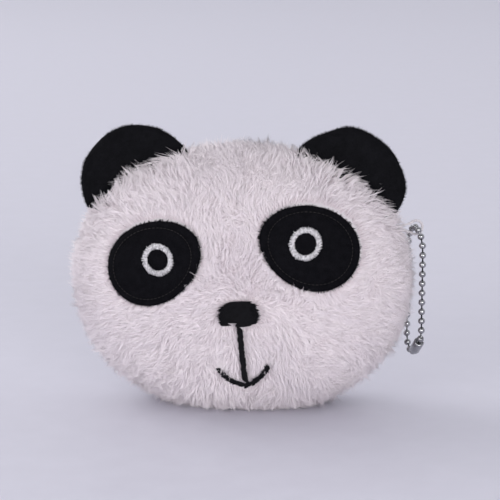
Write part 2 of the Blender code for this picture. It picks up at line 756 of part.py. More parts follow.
zip_axis = (SLIDER_X, bar_y, ZIP_Z)
pivot("zip_slide_axis", zip_axis, [slider])
pivot("pull_swing_axis", zip_axis, [pull])
pivot("chain_swing_axis", eye, made_beads[:ARCH_COUNT] + made_beads[BACK_COUNT:])
pivot("chain_front_axis", beads[ARCH_COUNT], made_beads[ARCH_COUNT:FRONT_COUNT])
pivot("chain_back_axis", beads[BACK_COUNT], made_beads[LOW_COUNT:BACK_COUNT])
pivot("chain_low_axis", beads[FRONT_COUNT], made_beads[FRONT_COUNT:LOW_COUNT] + [connector])
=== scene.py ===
# Plush panda-face purse on a ball chain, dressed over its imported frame.
# Lengths are millimetres in the script and become metres as each mesh is made.
from math import acos, atan2, cos, hypot, pi, radians, sin, sqrt, tau

import bmesh
import bpy
import numpy as np
from mathutils import Matrix, Vector


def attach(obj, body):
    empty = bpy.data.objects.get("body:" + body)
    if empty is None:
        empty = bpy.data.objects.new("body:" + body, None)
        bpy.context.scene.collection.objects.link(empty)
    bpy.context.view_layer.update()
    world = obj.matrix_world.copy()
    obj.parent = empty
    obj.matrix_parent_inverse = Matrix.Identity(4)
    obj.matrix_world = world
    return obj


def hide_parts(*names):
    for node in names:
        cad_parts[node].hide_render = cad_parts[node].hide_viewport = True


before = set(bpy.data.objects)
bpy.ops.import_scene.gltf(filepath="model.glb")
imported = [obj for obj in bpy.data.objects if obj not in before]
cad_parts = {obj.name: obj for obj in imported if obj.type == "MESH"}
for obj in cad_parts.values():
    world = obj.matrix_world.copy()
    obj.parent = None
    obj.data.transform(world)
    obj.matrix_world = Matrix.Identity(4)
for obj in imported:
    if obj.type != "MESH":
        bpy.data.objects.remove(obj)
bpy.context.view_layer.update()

# Table top, light and camera
# A pale lilac table lit softly from the left, the right and behind, in a room that is brighter at the back.
# The camera stands a little to the right of the face and above it, as in the photo.
MM = 0.001
FLOOR_HALF = 6000.0
FLOOR_DARK = (0.64, 0.625, 0.71)
FLOOR_LIGHT = (0.69, 0.675, 0.76)
ROOM_COLOUR = (0.93, 0.94, 1.0)
ROOM_FRONT = 0.24
ROOM_BACK = 1.0
LAMPS = (
    ("key", (-2500.0, -3300.0, 975.0), 2500.0, 64.0),
    ("fill", (1550.0, -4000.0, 325.0), 3000.0, 185.0),
    ("behind", (-1800.0, 840.0, 1240.0), 1600.0, 17.0),
)
AIM = (4.4, -10.0, 56.8)
VIEW_TURN = 6.0
VIEW_RISE = 12.0
VIEW_REACH = 650.0
VIEW_SPAN = 169.5
SENSOR = 36.0
BUMP_DEPTH = 0.0004


def grain_group():
    """A mottled mask and a fine height, in object coordinates, for cloth, felt, thread and metal."""
    group = bpy.data.node_groups.new("grain", "ShaderNodeTree")
    for name, way in (("Broad", "INPUT"), ("Fine", "INPUT"), ("Tone", "OUTPUT"), ("Height", "OUTPUT")):
        group.interface.new_socket(name, in_out=way, socket_type="NodeSocketFloat")
    nodes = group.nodes
    link = group.links.new
    given = nodes.new("NodeGroupInput")
    made = nodes.new("NodeGroupOutput")
    place = nodes.new("ShaderNodeTexCoord")
    broad = nodes.new("ShaderNodeTexNoise")
    broad.inputs["Detail"].default_value = 3.0
    fine = nodes.new("ShaderNodeTexNoise")
    fine.inputs["Detail"].default_value = 2.0
    blend = nodes.new("ShaderNodeMix")
    blend.inputs["Factor"].default_value = 0.45
    spread = nodes.new("ShaderNodeMapRange")
    spread.inputs["From Min"].default_value = 0.32
    spread.inputs["From Max"].default_value = 0.68
    link(place.outputs["Object"], broad.inputs["Vector"])
    link(place.outputs["Object"], fine.inputs["Vector"])
    link(given.outputs["Broad"], broad.inputs["Scale"])
    link(given.outputs["Fine"], fine.inputs["Scale"])
    link(broad.outputs["Fac"], blend.inputs[2])
    link(fine.outputs["Fac"], blend.inputs[3])
    link(blend.outputs[0], spread.inputs["Value"])
    link(spread.outputs[0], made.inputs["Tone"])
    link(fine.outputs["Fac"], made.inputs["Height"])
    return group


grain = grain_group()


def blank(name):
    """A new material with its nodes, its link call and its shader."""
    material = bpy.data.materials.new(name)
    material.use_nodes = True
    nodes = material.node_tree.nodes
    return material, nodes, material.node_tree.links.new, nodes["Principled BSDF"]


def mixer(nodes, low, high):
    """A node that blends two colours by its first input."""
    mix = nodes.new("ShaderNodeMix")
    mix.data_type = "RGBA"
    mix.inputs[6].default_value = (*low, 1.0)
    mix.inputs[7].default_value = (*high, 1.0)
    return mix


def grained(name, dark, light, broad, fine, rough, bump, metal=0.0, shine=0.5, rough_span=0.1):
    """A material whose colour and roughness follow the grain mask, with the fine height as bump."""
    material, nodes, link, shader = blank(name)
    shader.inputs["Metallic"].default_value = metal
    shader.inputs["Specular IOR Level"].default_value = shine
    mask = nodes.new("ShaderNodeGroup")
    mask.node_tree = grain
    mask.inputs["Broad"].default_value = broad
    mask.inputs["Fine"].default_value = fine
    colour = mixer(nodes, dark, light)
    polish = nodes.new("ShaderNodeMapRange")
    polish.inputs["To Min"].default_value = rough - rough_span
    polish.inputs["To Max"].default_value = rough + rough_span
    relief = nodes.new("ShaderNodeBump")
    relief.inputs["Strength"].default_value = bump
    relief.inputs["Distance"].default_value = BUMP_DEPTH
    link(mask.outputs["Tone"], colour.inputs[0])
    link(mask.outputs["Tone"], polish.inputs["Value"])
    link(mask.outputs["Height"], relief.inputs["Height"])
    link(colour.outputs[2], shader.inputs["Base Color"])
    link(polish.outputs[0], shader.inputs["Roughness"])
    link(relief.outputs["Normal"], shader.inputs["Normal"])
    return material


def show(name, data):
    """A new object for that data, linked into the scene."""
    thing = bpy.data.objects.new(name, data)
    bpy.context.scene.collection.objects.link(thing)
    return thing


floor_mesh = bpy.data.meshes.new("floor")
work = bmesh.new()
bmesh.ops.create_grid(work, x_segments=2, y_segments=2, size=FLOOR_HALF * MM)
work.to_mesh(floor_mesh)
work.free()
floor_mesh.materials.append(grained("table_top", FLOOR_DARK, FLOOR_LIGHT,
                                    broad=1.2, fine=90.0, rough=0.55, bump=0.02))
floor = show("floor", floor_mesh)

room = bpy.data.worlds.new("room")
room.use_nodes = True
room_nodes = room.node_tree.nodes
room_link = room.node_tree.links.new
room_nodes["Background"].inputs["Color"].default_value = (*ROOM_COLOUR, 1.0)
room_place = room_nodes.new("ShaderNodeTexCoord")
room_parts = room_nodes.new("ShaderNodeSeparateXYZ")
room_level = room_nodes.new("ShaderNodeMapRange")
room_level.inputs["From Min"].default_value = -1.0
room_level.inputs["To Min"].default_value = ROOM_FRONT
room_level.inputs["To Max"].default_value = ROOM_BACK
room_link(room_place.outputs["Generated"], room_parts.inputs["Vector"])
room_link(room_parts.outputs["Y"], room_level.inputs["Value"])
room_link(room_level.outputs[0], room_nodes["Background"].inputs["Strength"])
bpy.context.scene.world = room
bpy.context.scene.view_settings.view_transform = "Standard"

for name, place, size, power in LAMPS:
    light = bpy.data.lights.new(name, "AREA")
    light.size = size * MM
    light.energy = power
    holder = show(name, light)
    holder.location = Vector(place) * MM
    holder.rotation_euler = (Vector(place) - Vector(AIM)).to_track_quat("Z", "Y").to_euler()
    holder.visible_camera = False

camera = bpy.data.cameras.new("camera")
camera.sensor_width = SENSOR
camera.lens = SENSOR * VIEW_REACH / VIEW_SPAN
camera.clip_start = 0.01
camera.clip_end = 40.0
eye = show("camera", camera)
look = Vector((
    sin(radians(VIEW_TURN)) * cos(radians(VIEW_RISE)),
    -cos(radians(VIEW_TURN)) * cos(radians(VIEW_RISE)),
    sin(radians(VIEW_RISE)),
))
eye.location = (Vector(AIM) + look * VIEW_REACH) * MM
eye.rotation_euler = look.to_track_quat("Z", "Y").to_euler()
bpy.context.scene.camera = eye

# Face cloth
# The knitted backing of the long white plush: one domed panel, sewn to the back half at the side seam.
# It is a shell a millimetre thick that lies under the pile.
HALF_WIDTH = 58.7
MID_HEIGHT = 45.5
RISE = 45.2
DROP = 50.0
TOP_POWER = 1.92
LOW_POWER = 2.1
SEAM_Y = 6.0
SEAM_GAP = 0.3
FRONT_DEPTH = 30.0
DOME_POWER = 3
BACK_DEPTH = 14.0
BACK_FLAT = 0.74
BACK_POWER = 1.6
FLAT_SHARE = 0.35
CLOTH_INSET = 2.7
CLOTH_THICK = 1.0
CLOTH_DARK = (0.66, 0.62, 0.645)
CLOTH_LIGHT = (0.76, 0.72, 0.75)
SLOPE_STEP = 0.2


def outline_point(angle, inset):
    """A point of the purse's outline about its middle, drawn in by the inset."""
    across = HALF_WIDTH - inset
    height, power = (RISE, TOP_POWER) if sin(angle) > 0 else (DROP, LOW_POWER)
    up = height - inset
    reach = (abs(cos(angle) / across) ** power + abs(sin(angle) / up) ** power) ** (-1 / power)
    return reach * cos(angle), reach * sin(angle)


def face_y(x, z):
    """The depth of the pile's usual height over a point of the face."""
    up, power = (RISE, TOP_POWER) if z > MID_HEIGHT else (DROP, LOW_POWER)
    share = (abs(x / HALF_WIDTH) ** power + abs((z - MID_HEIGHT) / up) ** power) ** (1 / power)
    share = min(share, 1.0)
    return SEAM_Y - SEAM_GAP / 2 - FRONT_DEPTH * sqrt(1 - share ** DOME_POWER)


def face_normal(x, z):
    """The outward direction of the face over a point."""
    slope_x = (face_y(x + SLOPE_STEP, z) - face_y(x - SLOPE_STEP, z)) / (2 * SLOPE_STEP)
    slope_z = (face_y(x, z + SLOPE_STEP) - face_y(x, z - SLOPE_STEP)) / (2 * SLOPE_STEP)
    return Vector((slope_x, -1.0, slope_z)).normalized()


def globe(around, rings):
    """A sphere of radius one, its poles to the front and the back, to be shaped."""
    bm = bmesh.new()
    turn = Matrix.Rotation(pi / 2, 4, "X")
    bmesh.ops.create_uvsphere(bm, u_segments=around, v_segments=rings, radius=1.0, matrix=turn)
    return bm


def half_shell(side, inset, around=112, rings=72):
    """One half of the purse as an open bowl: side -1 is the face, 1 is the back."""
    bm = globe(around, rings)
    spare = [v for v in bm.verts if v.co.y * side < -1e-4]
    bmesh.ops.delete(bm, geom=spare, context="VERTS")
    for v in bm.verts:
        level = min(hypot(v.co.x, v.co.z), 1.0)
        angle = atan2(v.co.z, v.co.x)
        x, z = outline_point(angle, inset)
        if side < 0:
            scale = level ** (2 / DOME_POWER)
            y = SEAM_Y - SEAM_GAP / 2 - (FRONT_DEPTH - inset) * sqrt(1 - level ** 2)
        elif level < FLAT_SHARE:
            scale = BACK_FLAT * level / FLAT_SHARE
            y = SEAM_Y + SEAM_GAP / 2 + BACK_DEPTH - inset
        else:
            edge = (level - FLAT_SHARE) / (1 - FLAT_SHARE)
            scale = BACK_FLAT + (1 - BACK_FLAT) * edge ** (2 / BACK_POWER)
            y = SEAM_Y + SEAM_GAP / 2 + (BACK_DEPTH - inset) * sqrt(1 - edge ** 2) ** (2 / BACK_POWER)
        v.co = (x * scale, y, max(MID_HEIGHT + z * scale, inset))
    bmesh.ops.recalc_face_normals(bm, faces=bm.faces)
    if sum(f.normal.y * side for f in bm.faces) < 0:
        bmesh.ops.reverse_faces(bm, faces=bm.faces)
    return bm


def seat(name, mesh, material, body, stands_for=()):
    """Shows a finished mesh as a piece, ties it to its body, and hides the CAD nodes that it stands for."""
    mesh.materials.append(material)
    piece = show(name, mesh)
    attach(piece, body)
    if stands_for:
        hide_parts(*stands_for)
    return piece


def put(name, bm, material, body, stands_for=()):
    """Makes a smooth piece from its mesh in millimetres, its faces outward, and seats it."""
    bmesh.ops.recalc_face_normals(bm, faces=bm.faces)
    bmesh.ops.scale(bm, vec=(MM, MM, MM), verts=bm.verts)
    mesh = bpy.data.meshes.new(name)
    bm.to_mesh(mesh)
    bm.free()
    for polygon in mesh.polygons:
        polygon.use_smooth = True
    return seat(name, mesh, material, body, stands_for)


def thicken(bm, amount):
    """Gives an open sheet its thickness on the inner side."""
    bmesh.ops.recalc_face_normals(bm, faces=bm.faces)
    bmesh.ops.solidify(bm, geom=bm.verts[:] + bm.edges[:] + bm.faces[:], thickness=amount)
    bmesh.ops.recalc_face_normals(bm, faces=bm.faces)


def rounded_place(vert):
    """Where a vertex is, rounded, for an order that is the same at each run."""
    return tuple(round(part, 4) for part in vert.co)


def sheet_seed(bm):
    """Corners and corner normals of every triangle, ordered by place, as arrays, to sow pile on."""
    bm.normal_update()
    triples = []
    for face in bm.faces:
        ring = list(face.verts)
        start = ring.index(min(ring, key=rounded_place))
        ring = ring[start:] + ring[:start]
        triples += [(ring[0], *pair) for pair in zip(ring[1:], ring[2:])]
    triples.sort(key=lambda triple: [rounded_place(vert) for vert in triple])
    corners = [[vert.co[:] for vert in triple] for triple in triples]
    normals = [[vert.normal[:] for vert in triple] for triple in triples]
    return np.array(corners), np.array(normals)


cloth_white = grained("plush_backing", CLOTH_DARK, CLOTH_LIGHT,
                      broad=160.0, fine=2200.0, rough=0.85, bump=0.3)
face_sheet = half_shell(-1, CLOTH_INSET)
face_seed = sheet_seed(face_sheet)
thicken(face_sheet, CLOTH_THICK)
face_cloth = put("face_cloth", face_sheet, cloth_white, "pouch", ["face_panel"])

# Back cloth
# The back half of the same plush, flatter, cut and sewn like the face.
# It has a slit for the zip, whose edges are turned in and sewn to the tapes.
SLIT_HALF_LENGTH = 30.5
SLIT_HALF_HEIGHT = 3.5
ZIP_Z = 56.0
HEM_DEPTH = 1.3
FLAT_FROM = SEAM_Y + 4.0


def cut_slit(bm, half_length, half_height):
    """Cuts a straight slit through the flat of the back half and returns its edges."""
    cuts = [(Vector((1, 0, 0)), way * half_length) for way in (-1, 1)]
    cuts += [(Vector((0, 0, 1)), ZIP_Z + way * half_height) for way in (-1, 1)]
    for plane, at in cuts:
        bmesh.ops.bisect_plane(bm, geom=bm.verts[:] + bm.edges[:] + bm.faces[:], plane_co=plane * at,
                               plane_no=plane, dist=1e-6)
    inside = []
    for face in bm.faces:
        spot = face.calc_center_median()
        if spot.y > FLAT_FROM and abs(spot.x) < half_length and abs(spot.z - ZIP_Z) < half_height:
            inside.append(face)
    bmesh.ops.delete(bm, geom=inside, context="FACES")
    return [e for e in bm.edges if e.is_boundary and e.verts[0].co.y > FLAT_FROM]


back_sheet = half_shell(1, CLOTH_INSET)
slit_edges = cut_slit(back_sheet, SLIT_HALF_LENGTH, SLIT_HALF_HEIGHT)
back_seed = sheet_seed(back_sheet)
hem = bmesh.ops.extrude_edge_only(back_sheet, edges=slit_edges)
for item in hem["geom"]:
    if isinstance(item, bmesh.types.BMVert):
        item.co.y -= HEM_DEPTH
thicken(back_sheet, CLOTH_THICK)
back_cloth = put("back_cloth", back_sheet, cloth_white, "pouch", ["back_panel"])

# Pile
# The white plush itself: a close growth of short fine hairs, and longer tapered hairs over it in small
# locks that lie outward from the face's middle and are tossed about. It is parted and pressed where the
# patches, nose, mouth and zip are sewn in.
PATCH_LONG = 17.2
PATCH_SHORT = 13.5
PATCHES = ((-27.0, 54.1, 30.0, -0.08), (25.4, 60.2, -24.0, 0.08))
NOSE_CENTRE = (2.2, 37.3)
NOSE_HALF = (7.2, 4.3)
MOUTH = (
    (-4.7, 18.1), (-3.1, 15.5), (-0.4, 13.4), (3.8, 12.0),
    (6.2, 13.0), (8.9, 15.3), (11.2, 18.3), (11.9, 20.1),
)
PHILTRUM = ((2.4, 33.0), (3.0, 25.0), (3.9, 13.3))
FACE_LONG = 54000
BACK_LONG = 27000
FACE_SHORT = 150000
BACK_SHORT = 75000
FACES_A_PIECE = 198000
LONG_LENGTH = 5.5
LONG_VARIES = (0.75, 1.15)
LONG_RADIUS = 0.125
LONG_MIDDLE_RADIUS = 0.85 * LONG_RADIUS
SHORT_LENGTH = 4.3
SHORT_VARIES = (0.7, 1.2)
SHORT_RADIUS = 0.095
SHORT_LEAN = 42.0
LEAN_ROOT = 26.0
LEAN_ROOT_VARIES = 10.0
LEAN_TIP = 62.0
LEAN_TIP_VARIES = 14.0
LEAN_TIP_WAVE = 8.0
LEAN_WAVE_SPAN = 9.0
LOCK_SPAN = 1.25
LOCK_BEND = 0.9
LOCK_BEND_SPAN = 5.0
LOCK_PULL = 0.68
LOCK_PULL_VARIES = (0.5, 1.3)
LOCK_TOSS = 0.95
TOSS_LOSS = 2.6
MIDDLE_SHARE = 0.3
COMB_CENTRE = (3.5, 40.0)
COMB_STIR = 0.4
COMB_STIR_SPAN = 17.0
COMB_FINE = 0.3
COMB_FINE_SPAN = 6.0
COMB_VARIES = 0.3
# Each press: where hair stays off, how far out it is pressed, how much shorter and how hard pushed
PATCH_PRESS = ((-0.3, 0.5), 4.0, 0.3, 1.3)
NOSE_PRESS = ((-0.6, 0.3), 3.5, 0.5, 1.5)
LINE_BARE = 1.0
LINE_POKE = 0.06
LINE_NEAR = 3.6
LINE_LOSS = 0.66
EAR_BASE = ((20.0, 89.0), (51.0, 65.0))
TUFT_REACH = 5.5
TUFT_GROWTH = 0.6
TUFT_PULL = 0.97
BACK_PILE_FROM = SEAM_Y + 8.0
ZIP_NEAR = 4.5
ZIP_LOSS = 0.4
ZIP_PUSH = 3.0
PULL_LANE = (28.0, -22.0)
PULL_PRESS = 0.8
TINT_VARIES = 0.15
TINT_PATCHES = 0.18
TINT_PATCH_SPAN = 30.0
TINT_LOCKS = 0.22
TINT_LOCK_SPAN = 3.0
SOFT_SHARE = 0.42
LOWEST_HAIR = 0.15
MAP_TINT_SHARE = 0.98
MAP_STEP = 0.008
MAP_LIFT = 0.02
# The root colour below is painted shade: each hair darkens towards its root, where shade falls deep in the
# pile, over the share ROOT_SHADE of its length.
ROOT_SHADE = 0.6
FUR_ROOT_PAINTED_SHADE = (0.74, 0.655, 0.70)
FUR_COOL = (0.84, 0.765, 0.815)
FUR_WARM = (0.96, 0.885, 0.92)


def strand_material(name, cool, warm, root, rough, shine):
    """Pile or nap: each strand gets its own tint from the strand map, and painted shade darkening it towards
    its root if a root colour is given.
    """
    material, nodes, link, shader = blank(name)
    shader.inputs["Roughness"].default_value = rough
    shader.inputs["Specular IOR Level"].default_value = shine
    strand = nodes.new("ShaderNodeUVMap")
    strand.uv_map = "strand"
    parts = nodes.new("ShaderNodeSeparateXYZ")
    tint = mixer(nodes, cool, warm)
    link(strand.outputs["UV"], parts.inputs["Vector"])
    link(parts.outputs["X"], tint.inputs[0])
    colour = tint.outputs[2]
    # Painted shade: the tint darkens to the root colour towards the root of each strand.
    if root:
        shade = mixer(nodes, root, warm)
        rise = nodes.new("ShaderNodeMapRange")
        rise.inputs["From Max"].default_value = ROOT_SHADE
        link(parts.outputs["Y"], rise.inputs["Value"])
        link(rise.outputs[0], shade.inputs[0])
        link(colour, shade.inputs[7])
        colour = shade.outputs[2]
    link(colour, shader.inputs["Base Color"])
    return material


def sow(seed, count, chance):
    """Spreads roots evenly over a sheet's triangles and gives their normals."""
    corners, normals = seed
    edge_a = corners[:, 1] - corners[:, 0]
    edge_b = corners[:, 2] - corners[:, 0]
    area = np.linalg.norm(np.cross(edge_a, edge_b), axis=1)
    pick = chance.choice(len(area), count, p=area / area.sum())
    first = chance.random(count)
    second = chance.random(count)
    fold = first + second > 1
    first[fold] = 1 - first[fold]
    second[fold] = 1 - second[fold]
    share = np.stack([1 - first - second, first, second], axis=1)[:, :, None]
    root = (corners[pick] * share).sum(axis=1)
    out = (normals[pick] * share).sum(axis=1)
    return root, unit(out)


def unit(vectors):
    """Each row at length one."""
    return vectors / np.maximum(np.linalg.norm(vectors, axis=1, keepdims=True), 1e-9)


def waves(points, chance, span, count=7):
    """A smooth random value of about -1 to 1 at each point, of that span in millimetres."""
    total = np.zeros(len(points))
    for _ in range(count):
        way = chance.normal(size=3)
        way *= tau / span / np.linalg.norm(way) * chance.uniform(0.6, 1.5)
        total += np.sin(points @ way + chance.uniform(0, tau))
    return total / sqrt(count / 2)


def egg_reach(x, z, patch):
    """How far a point lies from a patch's middle: 1 is the patch's edge."""
    cx, cz, tilt, taper = patch
    along = (x - cx) * np.cos(radians(tilt)) + (z - cz) * np.sin(radians(tilt))
    aside = -(x - cx) * np.sin(radians(tilt)) + (z - cz) * np.cos(radians(tilt))
    width = PATCH_SHORT * (1 + taper * along / PATCH_LONG)
    return np.sqrt((along / PATCH_LONG) ** 2 + (aside / width) ** 2)


def line_distance(x, z, line):
    """The distance of each point from a run of straight pieces."""
    best = np.full(len(x), 1e9)
    for (ax, az), (bx, bz) in zip(line, line[1:]):
        span = (bx - ax) ** 2 + (bz - az) ** 2
        share = np.clip(((x - ax) * (bx - ax) + (z - az) * (bz - az)) / span, 0, 1)
        best = np.minimum(best, np.hypot(x - ax - share * (bx - ax), z - az - share * (bz - az)))
    return best


def by_ear(root):
    """How near each root is to the base of an ear: 1 is on it."""
    return np.exp(-(line_distance(np.abs(root[:, 0]), root[:, 2], EAR_BASE) / TUFT_REACH) ** 2)


def face_parting(root, chance):
    """Which strands of the face stay, how long they are, and where the sewn pieces push them."""
    x = root[:, 0]
    z = root[:, 2]
    stay = np.ones(len(root), bool)
    length = np.ones(len(root))
    push = np.zeros_like(root)
    nose_x = (x - NOSE_CENTRE[0]) / NOSE_HALF[0]
    nose_z = (z - NOSE_CENTRE[1]) / NOSE_HALF[1]
    sewn = []
    for patch in PATCHES:
        sewn.append(((egg_reach(x, z, patch) - 1) * PATCH_SHORT, x - patch[0], z - patch[1], PATCH_PRESS))
    sewn.append(((np.hypot(nose_x, nose_z) - 1) * NOSE_HALF[1], nose_x, nose_z, NOSE_PRESS))
    for clear, across, up, (bare, reach, loss, shove) in sewn:
        stay &= clear > chance.uniform(*bare, len(x))
        near = np.clip(1 - clear / reach, 0, 1)
        length *= 1 - loss * near
        push += unit(np.stack([across, np.zeros(len(x)), up], axis=1)) * (shove * near)[:, None]
    for line in (MOUTH, PHILTRUM):
        clear = line_distance(x, z, line)
        stay &= (clear > LINE_BARE) | (chance.random(len(x)) < LINE_POKE)
        length *= 1 - LINE_LOSS * np.clip(1 - clear / LINE_NEAR, 0, 1)
    length *= 1 + TUFT_GROWTH * by_ear(root)
    return stay, length, push


def back_parting(root, chance):
    """The same for the back, where the zip's slit parts the pile and its pull presses it."""
    x = root[:, 0]
    up = root[:, 2] - ZIP_Z
    aside = np.maximum(np.abs(x) - SLIT_HALF_LENGTH, 0)
    clear = np.hypot(aside, np.maximum(np.abs(up) - SLIT_HALF_HEIGHT, 0))
    flat = root[:, 1] > BACK_PILE_FROM
    near = np.where(flat, np.clip(1 - clear / ZIP_NEAR, 0, 1), 0)
    push = np.stack([np.zeros(len(x)), np.zeros(len(x)), np.sign(up)], axis=1) * (ZIP_PUSH * near)[:, None]
    under_pull = flat & (np.abs(x) < PULL_LANE[0]) & (up < 0) & (up > PULL_LANE[1])
    length = (1 - ZIP_LOSS * near) * np.where(under_pull, PULL_PRESS, 1.0)
    return np.ones(len(root), bool), length, push


def stirred(root, chance, span):
    """A smooth random direction at each root, of that span."""
    return np.stack([waves(root, chance, span) for _ in range(3)], axis=1)


def combed(root, out, push, chance):
    """The way each strand lies along the cloth: outward from the face's middle, stirred a little."""
    flow = np.stack([root[:, 0] - COMB_CENTRE[0], np.zeros(len(root)), root[:, 2] - COMB_CENTRE[1]], axis=1)
    stir = COMB_STIR * stirred(root, chance, COMB_STIR_SPAN)
    fine = COMB_FINE * stirred(root, chance, COMB_FINE_SPAN)
    flow = unit(flow) + stir + fine + push + chance.normal(scale=COMB_VARIES, size=root.shape)
    return unit(flow - (flow * out).sum(axis=1, keepdims=True) * out)


def tints(root, chance):
    """A tint for each strand, 0 cool to 1 warm, in broad soft patches and from lock to lock."""
    tint = 0.5 + TINT_VARIES * chance.normal(size=len(root))
    tint += TINT_PATCHES * waves(root, chance, TINT_PATCH_SPAN)
    tint += TINT_LOCKS * waves(root, chance, TINT_LOCK_SPAN)
    return np.clip(tint, 0, 1)


def long_hairs(root, out, flow, length, chance):
    """Middle and tip of every long hair, drawn together in locks."""
    count = len(root)
    low = np.radians(LEAN_ROOT + chance.normal(scale=LEAN_ROOT_VARIES, size=count))[:, None]
    high = LEAN_TIP + chance.normal(scale=LEAN_TIP_VARIES, size=count)
    high = np.radians(high + LEAN_TIP_WAVE * waves(root, chance, LEAN_WAVE_SPAN))[:, None]
    half = (length * LONG_LENGTH * chance.uniform(*LONG_VARIES, count) / 2)[:, None]
    middle = root + half * (np.cos(low) * out + np.sin(low) * flow)
    tip = middle + half * (np.cos(high) * out + np.sin(high) * flow)
    bend = LOCK_BEND * stirred(root, chance, LOCK_BEND_SPAN)
    cell = np.floor((root + bend) / LOCK_SPAN).astype(int)
    _, lock = np.unique(cell, axis=0, return_inverse=True)
    lock = lock.ravel()
    size = np.bincount(lock).astype(float)
    heart = np.stack([np.bincount(lock, tip[:, k]) / size for k in range(3)], axis=1)
    pull = LOCK_PULL * chance.uniform(*LOCK_PULL_VARIES, count)
    pull += (TUFT_PULL - pull) * by_ear(root)
    draw = pull[:, None] * (heart[lock] - tip)
    toss = chance.normal(scale=LOCK_TOSS, size=(len(size), 3))[lock]
    toss *= np.clip(1 - TOSS_LOSS * (1 - length), 0, 1)[:, None]
    return middle + MIDDLE_SHARE * (draw + toss), tip + draw + toss


def short_hairs(root, out, flow, length, chance):
    """Tip of every short hair, a straight spike."""
    lean = np.radians(SHORT_LEAN + chance.normal(scale=LEAN_TIP_VARIES, size=len(root)))[:, None]
    reach = np.where(length > 1, 2 - length, length)
    reach = (reach * SHORT_LENGTH * chance.uniform(*SHORT_VARIES, len(root)))[:, None]
    return root + reach * (np.cos(lean) * out + np.sin(lean) * flow)


def hair_mesh(name, rings, tip, tint, out, chance):
    """One closed three-sided spike for each tip, through rings of (centres, radius) from its root.

    Its shading leans to the cloth's outward direction, so that the pile takes light as one soft surface.
    """
    count = len(tip)
    way = unit(tip - rings[0][0])
    side = unit(np.cross(way, unit(chance.normal(size=tip.shape))))
    across = np.cross(way, side)
    corners = 3 * len(rings) + 1
    verts = np.empty((count, corners, 3))
    facing = np.empty((count, corners, 3))
    for level, (centre, radius) in enumerate(rings):
        for k in range(3):
            spoke = cos(k * tau / 3) * side + sin(k * tau / 3) * across
            verts[:, 3 * level + k] = centre + radius * spoke
            facing[:, 3 * level + k] = unit(SOFT_SHARE * out + (1 - SOFT_SHARE) * spoke)
    verts[:, -1] = tip
    facing[:, -1] = out
    verts[:, :, 2] = np.maximum(verts[:, :, 2], LOWEST_HAIR)
    faces = [(0, 2, 1)]
    for level in range(len(rings) - 1):
        low = 3 * level
        faces += [(low + k, low + (k + 1) % 3, low + 3 + (k + 1) % 3, low + 3 + k) for k in range(3)]
    last = 3 * len(rings) - 3
    faces += [(last + k, last + (k + 1) % 3, corners - 1) for k in range(3)]
    loops = np.array([corner for face in faces for corner in face])
    starts = np.cumsum([0] + [len(face) for face in faces[:-1]])
    mesh = bpy.data.meshes.new(name)
    mesh.vertices.add(count * corners)
    mesh.vertices.foreach_set("co", (verts * MM).ravel())
    mesh.loops.add(count * len(loops))
    index = (np.arange(count)[:, None] * corners + loops[None, :]).ravel()
    mesh.loops.foreach_set("vertex_index", index.astype(np.int32))
    mesh.polygons.add(count * len(faces))
    first = (np.arange(count)[:, None] * len(loops) + starts[None, :]).ravel()
    mesh.polygons.foreach_set("loop_start", first.astype(np.int32))
    mesh.update(calc_edges=True)
    mesh.polygons.foreach_set("use_smooth", np.ones(count * len(faces), bool))
    mesh.normals_split_custom_set_from_vertices(facing.reshape(-1, 3))
    nudge = np.array([0.0, MAP_STEP, 2 * MAP_STEP] * len(rings) + [MAP_STEP])
    climb = np.repeat(np.arange(len(rings)) / len(rings), 3) + np.tile([0.0, MAP_LIFT, 0.0], len(rings))
    climb = np.append(climb, 1.0)
    along = MAP_TINT_SHARE * tint[:, None] + nudge[None, loops]
    height = np.broadcast_to(climb[loops], along.shape)
    spread = np.stack([along, height], axis=2).ravel()
    for layer in ("strand", "OFBake"):
        mesh.uv_layers.new(name=layer).data.foreach_set("uv", spread)
    return mesh


def plant(name, seed, count, parting, kind, chance):
    """Sows a sheet with hairs and hands them out to pieces of a workable size, round the outline."""
    root, out = sow(seed, count, chance)
    stay, length, push = parting(root, chance)
    root = root[stay]
    out = out[stay]
    flow = combed(root, out, push[stay], chance)
    if kind == "long":
        middle, tip = long_hairs(root, out, flow, length[stay], chance)
        rings = [(root, LONG_RADIUS), (middle, LONG_MIDDLE_RADIUS)]
    else:
        tip = short_hairs(root, out, flow, length[stay], chance)
        rings = [(root, SHORT_RADIUS)]
    tint = tints(root, chance)
    order = np.argsort(np.arctan2(root[:, 2] - MID_HEIGHT, root[:, 0]))
    faces_a_hair = 6 * len(rings) - 2
    each = FACES_A_PIECE // faces_a_hair
    for number, part in enumerate(np.array_split(order, -(-len(order) // each)), start=1):
        picked = [(centre[part], radius) for centre, radius in rings]
        mesh = hair_mesh(f"{name}_{number}", picked, tip[part], tint[part], out[part], chance)
        seat(mesh.name, mesh, white_pile, "pouch")


white_pile = strand_material("white_pile", FUR_COOL, FUR_WARM, FUR_ROOT_PAINTED_SHADE, rough=0.55, shine=0.35)
plant("face_pile_short", face_seed, FACE_SHORT, face_parting, "short", np.random.default_rng(11))
plant("face_pile_long", face_seed, FACE_LONG, face_parting, "long", np.random.default_rng(12))
plant("back_pile_short", back_seed, BACK_SHORT, back_parting, "short", np.random.default_rng(13))
plant("back_pile_long", back_seed, BACK_LONG, back_parting, "long", np.random.default_rng(14))

